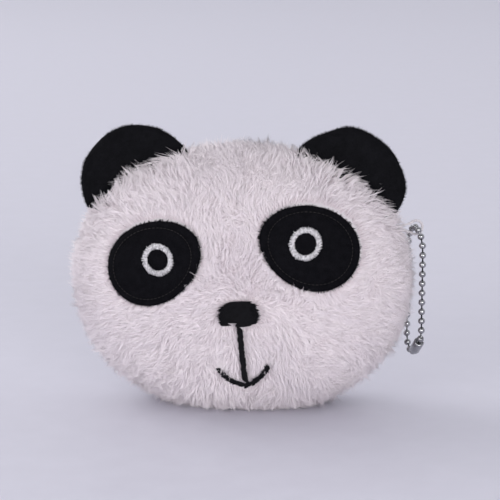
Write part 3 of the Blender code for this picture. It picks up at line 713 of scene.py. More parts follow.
# Wadding and lining
# A layer of fibre wadding domes the face, and a thin woven lining makes the coin pocket behind it.
# They lie inside the cloth, and only the lining's slit edge comes near the zip.
WADDING_INSET = 3.9
WADDING_THICK = 3.6
LINING_FRONT_INSET = 8.1
LINING_BACK_INSET = 4.6
LINING_THICK = 0.8
LINING_SLIT_WIDER = 1.0
INNER_MESH = (64, 40)
WADDING_DARK = (0.66, 0.65, 0.63)
WADDING_LIGHT = (0.80, 0.79, 0.77)
LINING_DARK = (0.46, 0.44, 0.46)
LINING_LIGHT = (0.58, 0.56, 0.58)
wadding_grain = grained("fibre_wadding", WADDING_DARK, WADDING_LIGHT,
                        broad=90.0, fine=900.0, rough=0.9, bump=0.5)
lining_grain = grained("woven_lining", LINING_DARK, LINING_LIGHT,
                       broad=300.0, fine=3000.0, rough=0.7, bump=0.3)
wadding_sheet = half_shell(-1, WADDING_INSET, *INNER_MESH)
thicken(wadding_sheet, WADDING_THICK)
wadding = put("wadding", wadding_sheet, wadding_grain, "pouch", ["face_padding"])
front_lining = half_shell(-1, LINING_FRONT_INSET, *INNER_MESH)
thicken(front_lining, LINING_THICK)
face_lining = put("lining_of_face", front_lining, lining_grain, "pouch", ["lining_front"])
back_lining = half_shell(1, LINING_BACK_INSET, *INNER_MESH)
cut_slit(back_lining, SLIT_HALF_LENGTH + LINING_SLIT_WIDER, SLIT_HALF_HEIGHT + LINING_SLIT_WIDER)
thicken(back_lining, LINING_THICK)
rear_lining = put("lining_of_back", back_lining, lining_grain, "pouch", ["lining_back"])

# Ears
# Each is a front and a back of short black velvet, sewn round the rim, turned and lightly filled,
# with a soft fold above the base where it is caught in the head's seam.
EAR_X = 35.7
EAR_Z = 76.6
EAR_Y = 4.5
EAR_RADIUS = 20.2
EAR_HALF_DEPTH = 4.6
EAR_POWER = 2.4
EAR_AXIS = 129.5
EAR_CUT = -5.0
EAR_MESH = (72, 40)
EAR_FOLD = 1.1
FOLD_RISE = 4.5
FOLD_SPAN = 2.2
EAR_UNEVEN_LEFT = 0.004
EAR_UNEVEN_RIGHT = 0.014
RIM_SWELL = 0.175
VELVET_STRANDS = 14000
VELVET_LENGTH = 0.95
VELVET_RADIUS = 0.07
VELVET_VARIES = (0.6, 1.2)
VELVET_STIR = 0.4
VELVET_STIR_SPAN = 14.0
VELVET_LEAN_VARIES = 0.5
VELVET_TINT_VARIES = 0.25
VELVET_DARK = (0.0028, 0.0028, 0.0038)
VELVET_LIGHT = (0.0075, 0.0075, 0.0095)


def ear_shell(side):
    """The ear as a closed lens, cut straight at its base: side -1 is the left ear."""
    bm = globe(*EAR_MESH)
    axis = radians(EAR_AXIS)
    up = Vector((-side * cos(axis), 0, sin(axis)))
    for v in bm.verts:
        level = min(hypot(v.co.x, v.co.z), 1.0)
        front = -1 if v.co.y < 0 else 1
        deep = EAR_HALF_DEPTH * sqrt(max(1 - level ** EAR_POWER, 0))
        deep += RIM_SWELL * level ** 8
        turn = atan2(v.co.z, v.co.x)
        wave = sin(5 * turn + side) + 0.7 * sin(8 * turn + 2 * side)
        uneven = 1 + (EAR_UNEVEN_LEFT if side < 0 else EAR_UNEVEN_RIGHT) * wave * level ** 2
        x = v.co.x * EAR_RADIUS * uneven
        z = v.co.z * EAR_RADIUS * uneven
        rise = x * up.x + z * up.z
        fold = EAR_FOLD * np.exp(-((rise - FOLD_RISE) / FOLD_SPAN) ** 2) * (1 - level ** 4)
        if front < 0:
            deep -= fold
        if abs(v.co.y) < 1e-5:
            deep = 0.0
        v.co = (side * EAR_X + x, EAR_Y + front * deep, EAR_Z + z)
    spot = Vector((side * EAR_X, EAR_Y, EAR_Z)) + up * EAR_CUT
    bmesh.ops.bisect_plane(bm, geom=bm.verts[:] + bm.edges[:] + bm.faces[:], plane_co=spot, plane_no=up,
                           dist=1e-6, clear_inner=True)
    bmesh.ops.holes_fill(bm, edges=[e for e in bm.edges if e.is_boundary])
    bmesh.ops.recalc_face_normals(bm, faces=bm.faces)
    return bm


velvet = grained("black_velvet", VELVET_DARK, VELVET_LIGHT,
                 broad=260.0, fine=2600.0, rough=0.8, bump=0.35, shine=0.06)


def velvet_nap(name, seed, chance):
    """Very short nap over the ear, so that its rim is soft."""
    root, out = sow(seed, VELVET_STRANDS, chance)
    flow = chance.normal(scale=VELVET_LEAN_VARIES, size=root.shape)
    way = unit(out + flow + VELVET_STIR * stirred(root, chance, VELVET_STIR_SPAN))
    tall = VELVET_LENGTH * chance.uniform(*VELVET_VARIES, len(root))[:, None]
    tint = np.clip(0.5 + VELVET_TINT_VARIES * chance.normal(size=len(root)), 0, 1)
    return hair_mesh(name, [(root, VELVET_RADIUS)], root + tall * way, tint, out, chance)


black_nap = strand_material("black_nap", VELVET_DARK, VELVET_LIGHT, None, rough=0.75, shine=0.06)
for side, word, number in ((-1, "left", 21), (1, "right", 22)):
    ear_bm = ear_shell(side)
    ear_seed = sheet_seed(ear_bm)
    ear = put(f"ear_{word}", ear_bm, velvet, "pouch",
              [f"ear_front_{word}", f"ear_back_{word}", f"ear_filling_{word}"])
    nap = velvet_nap(f"ear_nap_{word}", ear_seed, np.random.default_rng(number))
    seat(nap.name, nap, black_nap, "pouch")

# Eye patches
# Black felt eggs laid on the pile, with a border of black satin stitch that sews them down.
# A row of single stitches runs round inside the border.
PATCH_THICK = 1.1
PATCH_LIFT = 0.35
PATCH_SINK = 1.3
PATCH_MESH = (96, 28)
PATCH_UNDER = 0.5
RIM_THICK_SHARE = 0.35
BORDER_STITCHES = 300
BORDER_WIDTH = 2.4
BORDER_RADIUS = 0.2
BORDER_RAGGED = 0.28
BORDER_RAGGED_LIMITS = (-0.45, 0.5)
BORDER_OVER = 0.3
BORDER_WIDTH_VARIES = 0.15
BORDER_PLACE_VARIES = 0.2
BORDER_SLANT = 0.01
BORDER_RIM_SHARE = 0.55
SEAM_STITCHES = 64
SEAM_RADIUS = 0.15
SEAM_LEVEL = 1.0 - BORDER_WIDTH / PATCH_SHORT
SEAM_STITCH = (0.12, 0.88)
FELT_DARK = (0.0026, 0.0026, 0.0036)
FELT_LIGHT = (0.0068, 0.0066, 0.0084)
THREAD_DARK = (0.0028, 0.0028, 0.0038)
THREAD_LIGHT = (0.0085, 0.0083, 0.0104)
SEAM_DARK = (0.007, 0.006, 0.006)
SEAM_LIGHT = (0.03, 0.027, 0.028)


def patch_spot(patch, angle, share):
    """A point of an egg patch, at that share of the way to its edge."""
    cx, cz, tilt, taper = patch
    along = PATCH_LONG * cos(angle) * share
    aside = PATCH_SHORT * sin(angle) * share * (1 + taper * cos(angle) * share)
    turn = radians(tilt)
    return cx + along * cos(turn) - aside * sin(turn), cz + along * sin(turn) + aside * cos(turn)


def patch_lift(level):
    """The height of a patch's cloth over the pile, pressed down towards its rim."""
    return PATCH_LIFT - PATCH_SINK * level ** 5


def on_face(x, z, lift):
    """A point over the face at that height above the pile's usual height."""
    return Vector((x, face_y(x, z), z)) + face_normal(x, z) * lift


def stitch(bm, start, end, out, radius, flat=0.7):
    """One thread between two points: a long bead, flatter along the face's outward direction."""
    way = end - start
    axis = way.normalized()
    side = out.cross(axis).normalized()
    turn = Matrix((side, axis.cross(side), axis)).transposed().to_4x4()
    size = Matrix.Diagonal((radius, radius * flat, way.length / 2, 1.0))
    place = Matrix.Translation((start + end) / 2)
    bmesh.ops.create_uvsphere(bm, u_segments=6, v_segments=6, radius=1.0, matrix=place @ turn @ size)


felt = grained("black_felt", FELT_DARK, FELT_LIGHT, broad=420.0, fine=2600.0, rough=0.9, bump=0.6, shine=0.03)
black_thread = grained("black_thread", THREAD_DARK, THREAD_LIGHT,
                       broad=700.0, fine=2400.0, rough=0.6, bump=0.2, shine=0.08)
seam_thread = grained("seam_thread", SEAM_DARK, SEAM_LIGHT,
                      broad=900.0, fine=2600.0, rough=0.6, bump=0.2, shine=0.1)
for patch, word in zip(PATCHES, ("left", "right")):
    patch_bm = globe(*PATCH_MESH)
    for v in patch_bm.verts:
        level = min(hypot(v.co.x, v.co.z), 1.0)
        x, z = patch_spot(patch, atan2(v.co.z, v.co.x), level)
        top = PATCH_THICK * (RIM_THICK_SHARE + (1 - RIM_THICK_SHARE) * (1 - level ** 10) ** 0.5)
        v.co = on_face(x, z, patch_lift(level) + (top if v.co.y < 0 else -PATCH_UNDER))
    chance = np.random.default_rng(31)
    for k in range(BORDER_STITCHES):
        angle = tau * (k + chance.normal(scale=BORDER_PLACE_VARIES)) / BORDER_STITCHES
        ragged = np.clip(chance.normal(scale=BORDER_RAGGED), *BORDER_RAGGED_LIMITS)
        outer = 1.0 + (BORDER_OVER + ragged) / PATCH_SHORT
        inner = 1.0 - (BORDER_WIDTH + chance.normal(scale=BORDER_WIDTH_VARIES)) / PATCH_SHORT
        ax, az = patch_spot(patch, angle + BORDER_SLANT, inner)
        bx, bz = patch_spot(patch, angle - BORDER_SLANT, outer)
        out = face_normal(bx, bz)
        start = on_face(ax, az, patch_lift(inner) + PATCH_THICK)
        end = on_face(bx, bz, patch_lift(outer) + PATCH_THICK * BORDER_RIM_SHARE)
        stitch(patch_bm, start, end, out, BORDER_RADIUS)
    put(f"eye_patch_cloth_{word}", patch_bm, felt, "pouch", [f"eye_patch_{word}"])
    seam_bm = bmesh.new()
    for k in range(SEAM_STITCHES):
        ends = []
        for part in SEAM_STITCH:
            x, z = patch_spot(patch, tau * (k + part) / SEAM_STITCHES, SEAM_LEVEL)
            ends.append(on_face(x, z, patch_lift(SEAM_LEVEL) + PATCH_THICK + SEAM_RADIUS))
        stitch(seam_bm, *ends, face_normal(x, z), SEAM_RADIUS)
    put(f"eye_patch_seam_{word}", seam_bm, seam_thread, "pouch")

# Eye rings
# White satin stitch sewn in a ring through each patch, the threads running in towards the middle.
# The threads stand a little uneven, so that some catch the light.
RINGS = ((-24.8, 55.5), (23.9, 61.6))
RING_OUTER = 5.4
RING_INNER = 3.4
RING_RISE = 1.75
RING_STITCHES = 132
RING_THREAD = 0.155
RING_FLAT = 1.1
RING_SKEW = 0.05
RING_SKEW_VARIES = 0.02
RING_INNER_VARIES = 0.1
RING_OUTER_VARIES = 0.12
RING_RISE_VARIES = (-0.1, 0.3)
WHITE_DARK = (0.17, 0.162, 0.18)
WHITE_LIGHT = (0.95, 0.92, 0.95)
white_thread = grained("white_thread", WHITE_DARK, WHITE_LIGHT,
                       broad=1500.0, fine=3200.0, rough=0.42, bump=0.2)
for (cx, cz), word in zip(RINGS, ("left", "right")):
    ring_bm = bmesh.new()
    chance = np.random.default_rng(41)
    for k in range(RING_STITCHES):
        angle = tau * k / RING_STITCHES
        skew = RING_SKEW + chance.normal(scale=RING_SKEW_VARIES)
        inner = RING_INNER + chance.normal(scale=RING_INNER_VARIES)
        outer = RING_OUTER + chance.normal(scale=RING_OUTER_VARIES)
        lift = RING_RISE + chance.uniform(*RING_RISE_VARIES)
        start = on_face(cx + inner * cos(angle - skew), cz + inner * sin(angle - skew), lift)
        end = on_face(cx + outer * cos(angle + skew), cz + outer * sin(angle + skew), lift)
        stitch(ring_bm, start, end, face_normal(cx, cz), RING_THREAD, RING_FLAT)
    put(f"eye_ring_thread_{word}", ring_bm, white_thread, "pouch", [f"eye_ring_{word}"])

# Nose
# Black satin stitch, the threads laid side by side across it in a padded bean that leans a little.
# Its lower edge has a lobe at the left, a notch, and then the root of the line below.
NOSE_LEAN = radians(3.5)
NOSE_MIDDLE = (2.2, 37.9)
NOSE_ROWS = 36
NOSE_THREAD = 0.24
NOSE_FLAT = 3.0
NOSE_RIM_RISE = 0.2
NOSE_RISE = 1.5
NOSE_TOP_LOSS = (0.5, 0.38)
NOSE_LOW_LOSS = (0.28, 0.62)
NOSE_NOTCH = (-0.44, -0.2)
NOSE_NOTCH_TOP = -0.62
NOSE_LOBE_LOW = -0.84
NOSE_RAGGED = 0.3
nose_bm = bmesh.new()
chance = np.random.default_rng(51)
for k in range(NOSE_ROWS):
    level = -1 + 2 * (k + 0.5) / NOSE_ROWS
    losses = [loss * abs(level) ** 3 for loss in (NOSE_TOP_LOSS if level > 0 else NOSE_LOW_LOSS)]
    spans = [(losses[0] - 1, 1 - losses[1])]
    if level < NOSE_NOTCH_TOP:
        spans = [(losses[0] - 1, NOSE_NOTCH[0]), (NOSE_NOTCH[1], 1 - losses[1])]
    if level < NOSE_LOBE_LOW:
        spans = spans[1:]
    v = level * NOSE_HALF[1]
    rise = NOSE_RIM_RISE + NOSE_RISE * (1 - level ** 2) ** 0.5
    for span in spans:
        spots = []
        for end in span:
            u = end * NOSE_HALF[0] + chance.normal(scale=NOSE_RAGGED)
            x = NOSE_MIDDLE[0] + u * cos(NOSE_LEAN) - v * sin(NOSE_LEAN)
            z = NOSE_MIDDLE[1] + u * sin(NOSE_LEAN) + v * cos(NOSE_LEAN)
            spots.append(on_face(x, z, rise))
        stitch(nose_bm, *spots, face_normal(*NOSE_MIDDLE), NOSE_THREAD, NOSE_FLAT)
put("nose_thread", nose_bm, black_thread, "pouch", ["nose"])

# Mouth
# Two lines of black satin stitch, one down from the nose and one in a shallow arc.
# They are sewn through the pile and sunk a little in it.
MOUTH_THREAD = 0.34
MOUTH_HALF_WIDTH = 1.0
MOUTH_PITCH = 0.5
MOUTH_WIDTH_VARIES = (0.8, 1.2)
MOUTH_SLANT = 0.8
MOUTH_FLAT = 1.2
MOUTH_RISE = 0.4
MOUTH_RISE_VARIES = 0.12


def stitched_line(line, chance):
    """Short slanted threads side by side along a line on the face."""
    bm = bmesh.new()
    spots = []
    for (ax, az), (bx, bz) in zip(line, line[1:]):
        steps = max(2, round(hypot(bx - ax, bz - az) / MOUTH_PITCH))
        for k in range(steps):
            spots.append((ax + (bx - ax) * k / steps, az + (bz - az) * k / steps, bx - ax, bz - az))
    for x, z, dx, dz in spots:
        reach = MOUTH_HALF_WIDTH * chance.uniform(*MOUTH_WIDTH_VARIES) / hypot(dx, dz)
        sx = (-dz + MOUTH_SLANT * dx) * reach
        sz = (dx + MOUTH_SLANT * dz) * reach
        lift = MOUTH_RISE + chance.uniform(-MOUTH_RISE_VARIES, MOUTH_RISE_VARIES)
        start = on_face(x - sx, z - sz, lift)
        end = on_face(x + sx, z + sz, lift)
        stitch(bm, start, end, face_normal(x, z), MOUTH_THREAD, MOUTH_FLAT)
    return bm


mouth_bm = stitched_line(MOUTH, np.random.default_rng(61))
put("mouth_arc_thread", mouth_bm, black_thread, "pouch", ["mouth_arc"])
philtrum_bm = stitched_line(PHILTRUM, np.random.default_rng(62))
put("mouth_line_thread", philtrum_bm, black_thread, "pouch", ["mouth_line"])

# Zip tapes
# Two woven tapes sewn behind the slit's turned edges, each to carry a row of teeth.
# A bar of close stitches holds the two together past each end of the teeth.
TAPE_HALF_LENGTH = 32.8
TAPE_INNER = 1.1
TAPE_OUTER = 6.5
TAPE_Y = (15.85, 16.35)
TAPE_ROUND = 0.12
TACK_PLACES = (-29.5, 29.5)
TACK_STITCHES = 9
TACK_WIDTH = 2.0
TACK_REACH = 2.4
TACK_RADIUS = 0.22
TAPE_DARK = (0.50, 0.48, 0.50)
TAPE_LIGHT = (0.66, 0.635, 0.655)


def zip_span(way, near, far):
    """The low and the high edge of a strip above or below the zip's middle."""
    return sorted((ZIP_Z + way * near, ZIP_Z + way * far))


def soften(bm, verts, round_off, steps=2):
    """Rounds every edge at those vertices."""
    edges = list(dict.fromkeys(e for v in verts for e in v.link_edges))
    bmesh.ops.bevel(bm, geom=edges, offset=round_off, offset_type="OFFSET", segments=steps, profile=0.5,
                    affect="EDGES", material=-1)


def block(bm, low, high, round_off, steps=2):
    """A box between two corners with rounded edges."""
    place = Matrix.Translation((Vector(low) + Vector(high)) / 2)
    size = Matrix.Diagonal((*(b - a for a, b in zip(low, high)), 1.0))
    made = bmesh.ops.create_cube(bm, size=1.0, matrix=place @ size)
    soften(bm, made["verts"], round_off, steps)


tape_weave = grained("zip_tape_weave", TAPE_DARK, TAPE_LIGHT, broad=500.0, fine=2600.0, rough=0.8, bump=0.5)
for way, word in ((1, "upper"), (-1, "lower")):
    tape_bm = bmesh.new()
    ends = zip_span(way, TAPE_INNER, TAPE_OUTER)
    low = (-TAPE_HALF_LENGTH, TAPE_Y[0], ends[0])
    block(tape_bm, low, (TAPE_HALF_LENGTH, TAPE_Y[1], ends[1]), TAPE_ROUND)
    put(f"zip_tape_weave_{word}", tape_bm, tape_weave, "pouch", [f"zip_tape_{word}"])
tack_bm = bmesh.new()
for middle in TACK_PLACES:
    for k in range(TACK_STITCHES):
        x = middle + TACK_WIDTH * (k / (TACK_STITCHES - 1) - 0.5)
        ends = [Vector((x, TAPE_Y[1] + TACK_RADIUS / 2, ZIP_Z + way * TACK_REACH)) for way in (-1, 1)]
        stitch(tack_bm, *ends, Vector((0, 1, 0)), TACK_RADIUS)
put("zip_end_tacks", tack_bm, tape_weave, "pouch")

# Zip teeth
# Two rows of moulded nylon teeth, one row on each tape.
# They are set in turn, so that they mesh.
TOOTH_PITCH = 1.6
TOOTH_WIDTH = 0.62
TOOTH_COUNT = 31
TOOTH_TIP = -0.5
TOOTH_BACK = 2.2
TOOTH_Y = (16.5, 18.5)
TOOTH_ROUND = 0.2
TEETH_START = -27.6
NYLON_DARK = (0.56, 0.54, 0.56)
NYLON_LIGHT = (0.72, 0.70, 0.72)
nylon = grained("zip_nylon_grain", NYLON_DARK, NYLON_LIGHT, broad=500.0, fine=1800.0, rough=0.42, bump=0.1)
for way, word in ((1, "upper"), (-1, "lower")):
    teeth_bm = bmesh.new()
    offset = 0.0 if way > 0 else TOOTH_PITCH / 2
    for k in range(TOOTH_COUNT):
        x = TEETH_START + offset + k * TOOTH_PITCH
        ends = zip_span(way, TOOTH_TIP, TOOTH_BACK)
        low = (x - TOOTH_WIDTH / 2, TOOTH_Y[0], ends[0])
        block(teeth_bm, low, (x + TOOTH_WIDTH / 2, TOOTH_Y[1], ends[1]), TOOTH_ROUND, 1)
    put(f"zip_teeth_nylon_{word}", teeth_bm, nylon, "pouch", [f"zip_teeth_{word}"])

# Slider and pull
# A die-cast zinc slider with a top and an under plate joined by a wedge, a bridge over its back,
# and a stamped pull that hangs from the bridge by its own eye.
SLIDER_X = 24.0
SLIDER_HALF_WIDTH = 3.0
SLIDER_PLAN = ((-4.0, 2.3), (-3.4, SLIDER_HALF_WIDTH), (1.8, SLIDER_HALF_WIDTH), (4.0, 2.0))
PLATE_TOP = (18.9, 19.7)
PLATE_UNDER = (14.75, 15.55)
PLATE_ROUND = 0.22
WEDGE_X = (0.4, 3.2)
WEDGE_HALF_WIDTH = 0.9
WEDGE_BITE = 0.2
WEDGE_ROUND = 0.15
FLANGE_X = (-3.4, 1.8)
FLANGE_LOW = 16.65
FLANGE_BITE = 0.3
FLANGE_WIDTH = 0.4
FLANGE_ROUND = 0.12
BRIDGE_Y = 21.3
BRIDGE_RADIUS = 0.5
BRIDGE_BITE = 0.3
BRIDGE_BEND = 0.5
BRIDGE_BEND_X = -1.65
BRIDGE_BEND_STEPS = 4
EYE_MEAN = 1.05
EYE_CORD = 0.25
EYE_STEPS = 24
EYE_SHIFTS = (-0.95, -0.5, 0.0, 0.5, 0.95)
PULL_PLAN = ((1.2, -1.1), (1.2, -4.0), (2.6, -7.0), (2.6, -18.5), (1.4, -20.0))
PULL_THICK = 1.0
PULL_ROUND = 0.2
STEEL_DARK = (0.30, 0.30, 0.315)
STEEL_LIGHT = (0.46, 0.46, 0.475)
plated = grained("plated_steel", STEEL_DARK, STEEL_LIGHT,
                 broad=260.0, fine=1500.0, rough=0.26, bump=0.03, metal=1.0, rough_span=0.06)


def slab(bm, plan, low, high, round_off):
    """A flat plate in the zip's plane from its plan of (x, z) points, its edges rounded."""
    face = bm.faces.new([bm.verts.new((x, low, z)) for x, z in plan])
    grown = bmesh.ops.extrude_face_region(bm, geom=[face])["geom"]
    moved = [item for item in grown if isinstance(item, bmesh.types.BMVert)]
    bmesh.ops.translate(bm, vec=(0, high - low, 0), verts=moved)
    soften(bm, list(face.verts) + moved, round_off)


def heading_at(points, k):
    """The direction of a run of points at one of them."""
    return (points[min(k + 1, len(points) - 1)] - points[max(k - 1, 0)]).normalized()


def tube(bm, points, radius, sides=10):
    """A round tube along points, closed at both ends."""
    rings = []
    side = None
    for k, point in enumerate(points):
        way = heading_at(points, k)
        if side is None:
            side = way.orthogonal().normalized()
        side = (side - way * side.dot(way)).normalized()
        across = way.cross(side)
        spokes = [side * cos(tau * j / sides) + across * sin(tau * j / sides) for j in range(sides)]
        rings.append([bm.verts.new(point + spoke * radius) for spoke in spokes])
    for low, high in zip(rings, rings[1:]):
        for j in range(sides):
            bm.faces.new((low[j], low[(j + 1) % sides], high[(j + 1) % sides], high[j]))
    bm.faces.new(list(reversed(rings[0])))
    bm.faces.new(rings[-1])


slider_bm = bmesh.new()
slider_plan = [(SLIDER_X + x, ZIP_Z + z) for x, z in SLIDER_PLAN]
slider_plan += [(SLIDER_X + x, ZIP_Z - z) for x, z in reversed(SLIDER_PLAN)]
slab(slider_bm, slider_plan, *PLATE_TOP, PLATE_ROUND)
slab(slider_bm, slider_plan, *PLATE_UNDER, PLATE_ROUND)
wedge_low = (SLIDER_X + WEDGE_X[0], PLATE_UNDER[1] - WEDGE_BITE, ZIP_Z - WEDGE_HALF_WIDTH)
wedge_high = (SLIDER_X + WEDGE_X[1], PLATE_TOP[0] + WEDGE_BITE, ZIP_Z + WEDGE_HALF_WIDTH)
block(slider_bm, wedge_low, wedge_high, WEDGE_ROUND)
for way in (1, -1):
    rim = zip_span(way, SLIDER_HALF_WIDTH - FLANGE_WIDTH, SLIDER_HALF_WIDTH)
    flange_low = (SLIDER_X + FLANGE_X[0], FLANGE_LOW, rim[0])
    flange_high = (SLIDER_X + FLANGE_X[1], PLATE_TOP[0] + FLANGE_BITE, rim[1])
    block(slider_bm, flange_low, flange_high, FLANGE_ROUND)
arch = [Vector((SLIDER_X + BRIDGE_BEND_X - BRIDGE_BEND, PLATE_TOP[1] - BRIDGE_BITE, ZIP_Z))]
for k in range(BRIDGE_BEND_STEPS + 1):
    angle = k * pi / 2 / BRIDGE_BEND_STEPS
    across = SLIDER_X + BRIDGE_BEND_X - BRIDGE_BEND * cos(angle)
    arch.append(Vector((across, BRIDGE_Y - BRIDGE_BEND + BRIDGE_BEND * sin(angle), ZIP_Z)))
arch += [Vector((2 * SLIDER_X - spot.x, spot.y, spot.z)) for spot in reversed(arch)]
tube(slider_bm, arch, BRIDGE_RADIUS)
put("zip_slider_casting", slider_bm, plated, "slider", ["zip_slider"])

pull_bm = bmesh.new()
eye_turns = [tau * k / EYE_STEPS for k in range(EYE_STEPS + 1)]
eye_ring = [Vector((SLIDER_X, BRIDGE_Y + EYE_MEAN * cos(t), ZIP_Z + EYE_MEAN * sin(t))) for t in eye_turns]
for shift in EYE_SHIFTS:
    tube(pull_bm, [spot + Vector((shift, 0, 0)) for spot in eye_ring], EYE_CORD)
blade = [(SLIDER_X + x, ZIP_Z + z) for x, z in PULL_PLAN]
blade += [(SLIDER_X - x, ZIP_Z + z) for x, z in reversed(PULL_PLAN)]
slab(pull_bm, blade, BRIDGE_Y - PULL_THICK / 2, BRIDGE_Y + PULL_THICK / 2, PULL_ROUND)
put("zip_pull_stamping", pull_bm, plated, "pull", ["zip_pull"])

# Cord tab
# A short loop of twisted white cord that the chain runs through.
# Both its ends are caught in the side seam.
LOOP_EYE = Vector((60.0, 6.5, 62.5))
LOOP_ALONG = Vector((-0.35, 0.93675, 0.0))
LOOP_OUT = Vector((0.93675, 0.35, 0.0))
TAB_MEAN = 2.4
TAB_CORD = 0.5
TAB_ROOT = 51.3
TAB_NECK = 1.6
TAB_ROOT_HALF = 0.6
TAB_SPREAD = 1.1
TAB_LEG_STEPS = 13
TAB_ROUND_STEPS = 33
TAB_OPENING = radians(270.0)
TAB_PLY = 0.3
TAB_TURNS = 9.0
CORD_DARK = (0.52, 0.49, 0.51)
CORD_LIGHT = (0.74, 0.70, 0.73)


def tab_leg(share, way):
    """A point of the tab's upper or lower leg, from the seam at 0 to the round at 1."""
    stem = LOOP_EYE.x - TAB_ROOT
    half = TAB_ROOT_HALF + TAB_SPREAD * share ** 2
    return LOOP_EYE + LOOP_OUT * (-stem + (stem - TAB_NECK) * share) + Vector((0, 0, way * half))


tab_path = [tab_leg(k / TAB_LEG_STEPS, 1) for k in range(TAB_LEG_STEPS + 1)]
for k in range(1, TAB_ROUND_STEPS):
    angle = TAB_OPENING * (0.5 - k / TAB_ROUND_STEPS)
    tab_path.append(LOOP_EYE + LOOP_OUT * TAB_MEAN * cos(angle) + Vector((0, 0, TAB_MEAN * sin(angle))))
tab_path += [tab_leg(1 - k / TAB_LEG_STEPS, -1) for k in range(TAB_LEG_STEPS + 1)]
cord_grain = grained("white_cord", CORD_DARK, CORD_LIGHT, broad=500.0, fine=2600.0, rough=0.75, bump=0.4)
tab_bm = bmesh.new()
for ply in range(2):
    twisted = []
    for k, point in enumerate(tab_path):
        way = heading_at(tab_path, k)
        across = way.cross(LOOP_ALONG)
        turn = tau * TAB_TURNS * k / len(tab_path) + pi * ply
        twisted.append(point + (LOOP_ALONG * cos(turn) + across * sin(turn)) * (TAB_CORD - TAB_PLY))
    tube(tab_bm, twisted, TAB_PLY)
put("chain_tab_cord", tab_bm, cord_grain, "pouch", ["chain_tab"])

# Ball chain
# Hollow balls rolled from plated steel strip, linked by pins whose heads sit inside the balls.
# The loop hangs from the tab: over it, down the front, round the low end and up the back.
BEAD_PITCH = 3.3
BEAD_RADIUS = 1.2
BEAD_HOLE = 0.62
PIN_RADIUS = 0.27
PIN_STOP = 0.92
PIN_FOOT = 0.86
PIN_COLLAR = (0.5, 0.93)
BEAD_RINGS = 10
BEAD_SIDES = 18
HOLE_FLOOR = 0.7
HOLE_WALL = 0.56
HOLE_ROUND = 0.03
FIRST_BEAD = -0.65
TOP_BEND = 7.528
LOW_BEND = 5.0
SIDE_DROP = 27.70
JOIN_LENGTH = 6.6
JOIN_SLOPE = radians(50.0)
CHAIN_RUN = (
    (TOP_BEND * pi / 2, pi / 2),
    (SIDE_DROP, 0.0),
    (LOW_BEND * JOIN_SLOPE, JOIN_SLOPE),
    (JOIN_LENGTH, 0.0),
    (LOW_BEND * (pi - JOIN_SLOPE), pi - JOIN_SLOPE),
    (SIDE_DROP + JOIN_LENGTH * cos(JOIN_SLOPE), 0.0),
    (TOP_BEND * pi / 2, pi / 2),
)


def chain_spot(distance):
    """Place and heading on the chain's loop at that distance from the tab."""
    total = sum(length for length, _ in CHAIN_RUN)
    left = distance % total
    heading = pi
    along = 0.0
    up = 0.0
    for length, turn in CHAIN_RUN:
        step = min(left, length)
        if turn:
            radius = length / turn
            swing = step / radius
            along += radius * (sin(heading + swing) - sin(heading))
            up -= radius * (cos(heading + swing) - cos(heading))
            heading += swing
        else:
            along += step * cos(heading)
            up += step * sin(heading)
        left -= step
        if left <= 1e-9:
            break
    place = LOOP_EYE + LOOP_ALONG * along + Vector((0, 0, up))
    return place, LOOP_ALONG * cos(heading) + Vector((0, 0, sin(heading)))


def bead(run, place, way):
    """Adds one ball with turned-in holes and the pin that leads on to the next."""
    rim = acos(sqrt(1 - (BEAD_HOLE / BEAD_RADIUS) ** 2))
    turns = [rim + (pi - 2 * rim) * k / BEAD_RINGS for k in range(BEAD_RINGS + 1)]
    profile = [(0.0, -HOLE_FLOOR), (HOLE_WALL, -HOLE_FLOOR - HOLE_ROUND)]
    profile += [(BEAD_RADIUS * sin(turn), -BEAD_RADIUS * cos(turn)) for turn in turns]
    reach = BEAD_PITCH - PIN_STOP
    profile += [PIN_COLLAR, (PIN_RADIUS, PIN_FOOT), (PIN_RADIUS, reach), (0.0, reach)]
    ball = bmesh.new()
    line = [ball.verts.new((x, 0, z)) for x, z in profile]
    edges = [ball.edges.new(pair) for pair in zip(line, line[1:])]
    bmesh.ops.spin(ball, geom=line + edges, cent=(0, 0, 0), axis=(0, 0, 1), angle=tau, steps=BEAD_SIDES,
                   use_merge=True)
    bmesh.ops.remove_doubles(ball, verts=ball.verts, dist=1e-4)
    turn = way.to_track_quat("Z", "Y").to_matrix().to_4x4()
    bmesh.ops.transform(ball, matrix=Matrix.Translation(place) @ turn, verts=ball.verts)
    made = bpy.data.meshes.new("bead")
    ball.to_mesh(made)
    ball.free()
    run.from_mesh(made)
    bpy.data.meshes.remove(made)


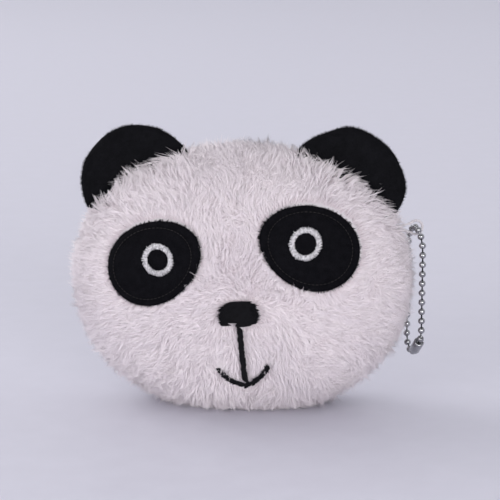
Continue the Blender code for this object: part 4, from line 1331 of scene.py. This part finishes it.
CHAIN_PARTS = (
    ("chain_top", "chain_top_beads", [0, 1, 2, 3, 28, 29, 30, 31]),
    ("chain_front", "chain_front_beads", list(range(4, 12))),
    ("chain_low", "chain_low_beads", list(range(12, 20))),
    ("chain_back", "chain_back_beads", list(range(20, 28))),
)
for body, name, numbers in CHAIN_PARTS:
    run_bm = bmesh.new()
    for number in numbers:
        here, way = chain_spot(FIRST_BEAD + number * BEAD_PITCH)
        ahead, _ = chain_spot(FIRST_BEAD + (number + 1) * BEAD_PITCH)
        bead(run_bm, here, (ahead - here).normalized())
    put(name, run_bm, plated, body, [f"chain_bead_{number + 1:02d}" for number in numbers])

# Connector
# A strip of plated steel rolled into a sleeve, open along one side.
# It snaps over the loop's two end balls.
JOIN_OUTER = 1.8
JOIN_END = ((1.0, -3.35), (1.5, -3.32), (1.72, -3.12), (JOIN_OUTER, -2.8))
JOIN_SIDES = 40
JOIN_WALL = 0.3
JOIN_SLOT = 0.7
JOIN_BEAD = 14
join_first, _ = chain_spot(FIRST_BEAD + JOIN_BEAD * BEAD_PITCH)
join_last, _ = chain_spot(FIRST_BEAD + (JOIN_BEAD + 1) * BEAD_PITCH)
join_run = (join_last - join_first).normalized()
join_side = LOOP_ALONG.cross(Vector((0, 0, 1))).normalized()
join_turn = Matrix((join_side, join_run.cross(join_side), join_run)).transposed().to_4x4()
barrel = list(JOIN_END)
barrel += [(radius, -height) for radius, height in reversed(JOIN_END)]
join_bm = bmesh.new()
join_line = [join_bm.verts.new((radius, 0, height)) for radius, height in barrel]
join_edges = [join_bm.edges.new(pair) for pair in zip(join_line, join_line[1:])]
gap = JOIN_SLOT / JOIN_OUTER
bmesh.ops.rotate(join_bm, verts=join_line, cent=(0, 0, 0), matrix=Matrix.Rotation(gap / 2, 3, "Z"))
bmesh.ops.spin(join_bm, geom=join_line + join_edges, cent=(0, 0, 0), axis=(0, 0, 1), angle=tau - gap,
               steps=JOIN_SIDES)
thicken(join_bm, JOIN_WALL)
join_place = Matrix.Translation((join_first + join_last) / 2)
bmesh.ops.transform(join_bm, matrix=join_place @ join_turn, verts=join_bm.verts)
put("chain_connector_barrel", join_bm, plated, "chain_low", ["chain_connector"])
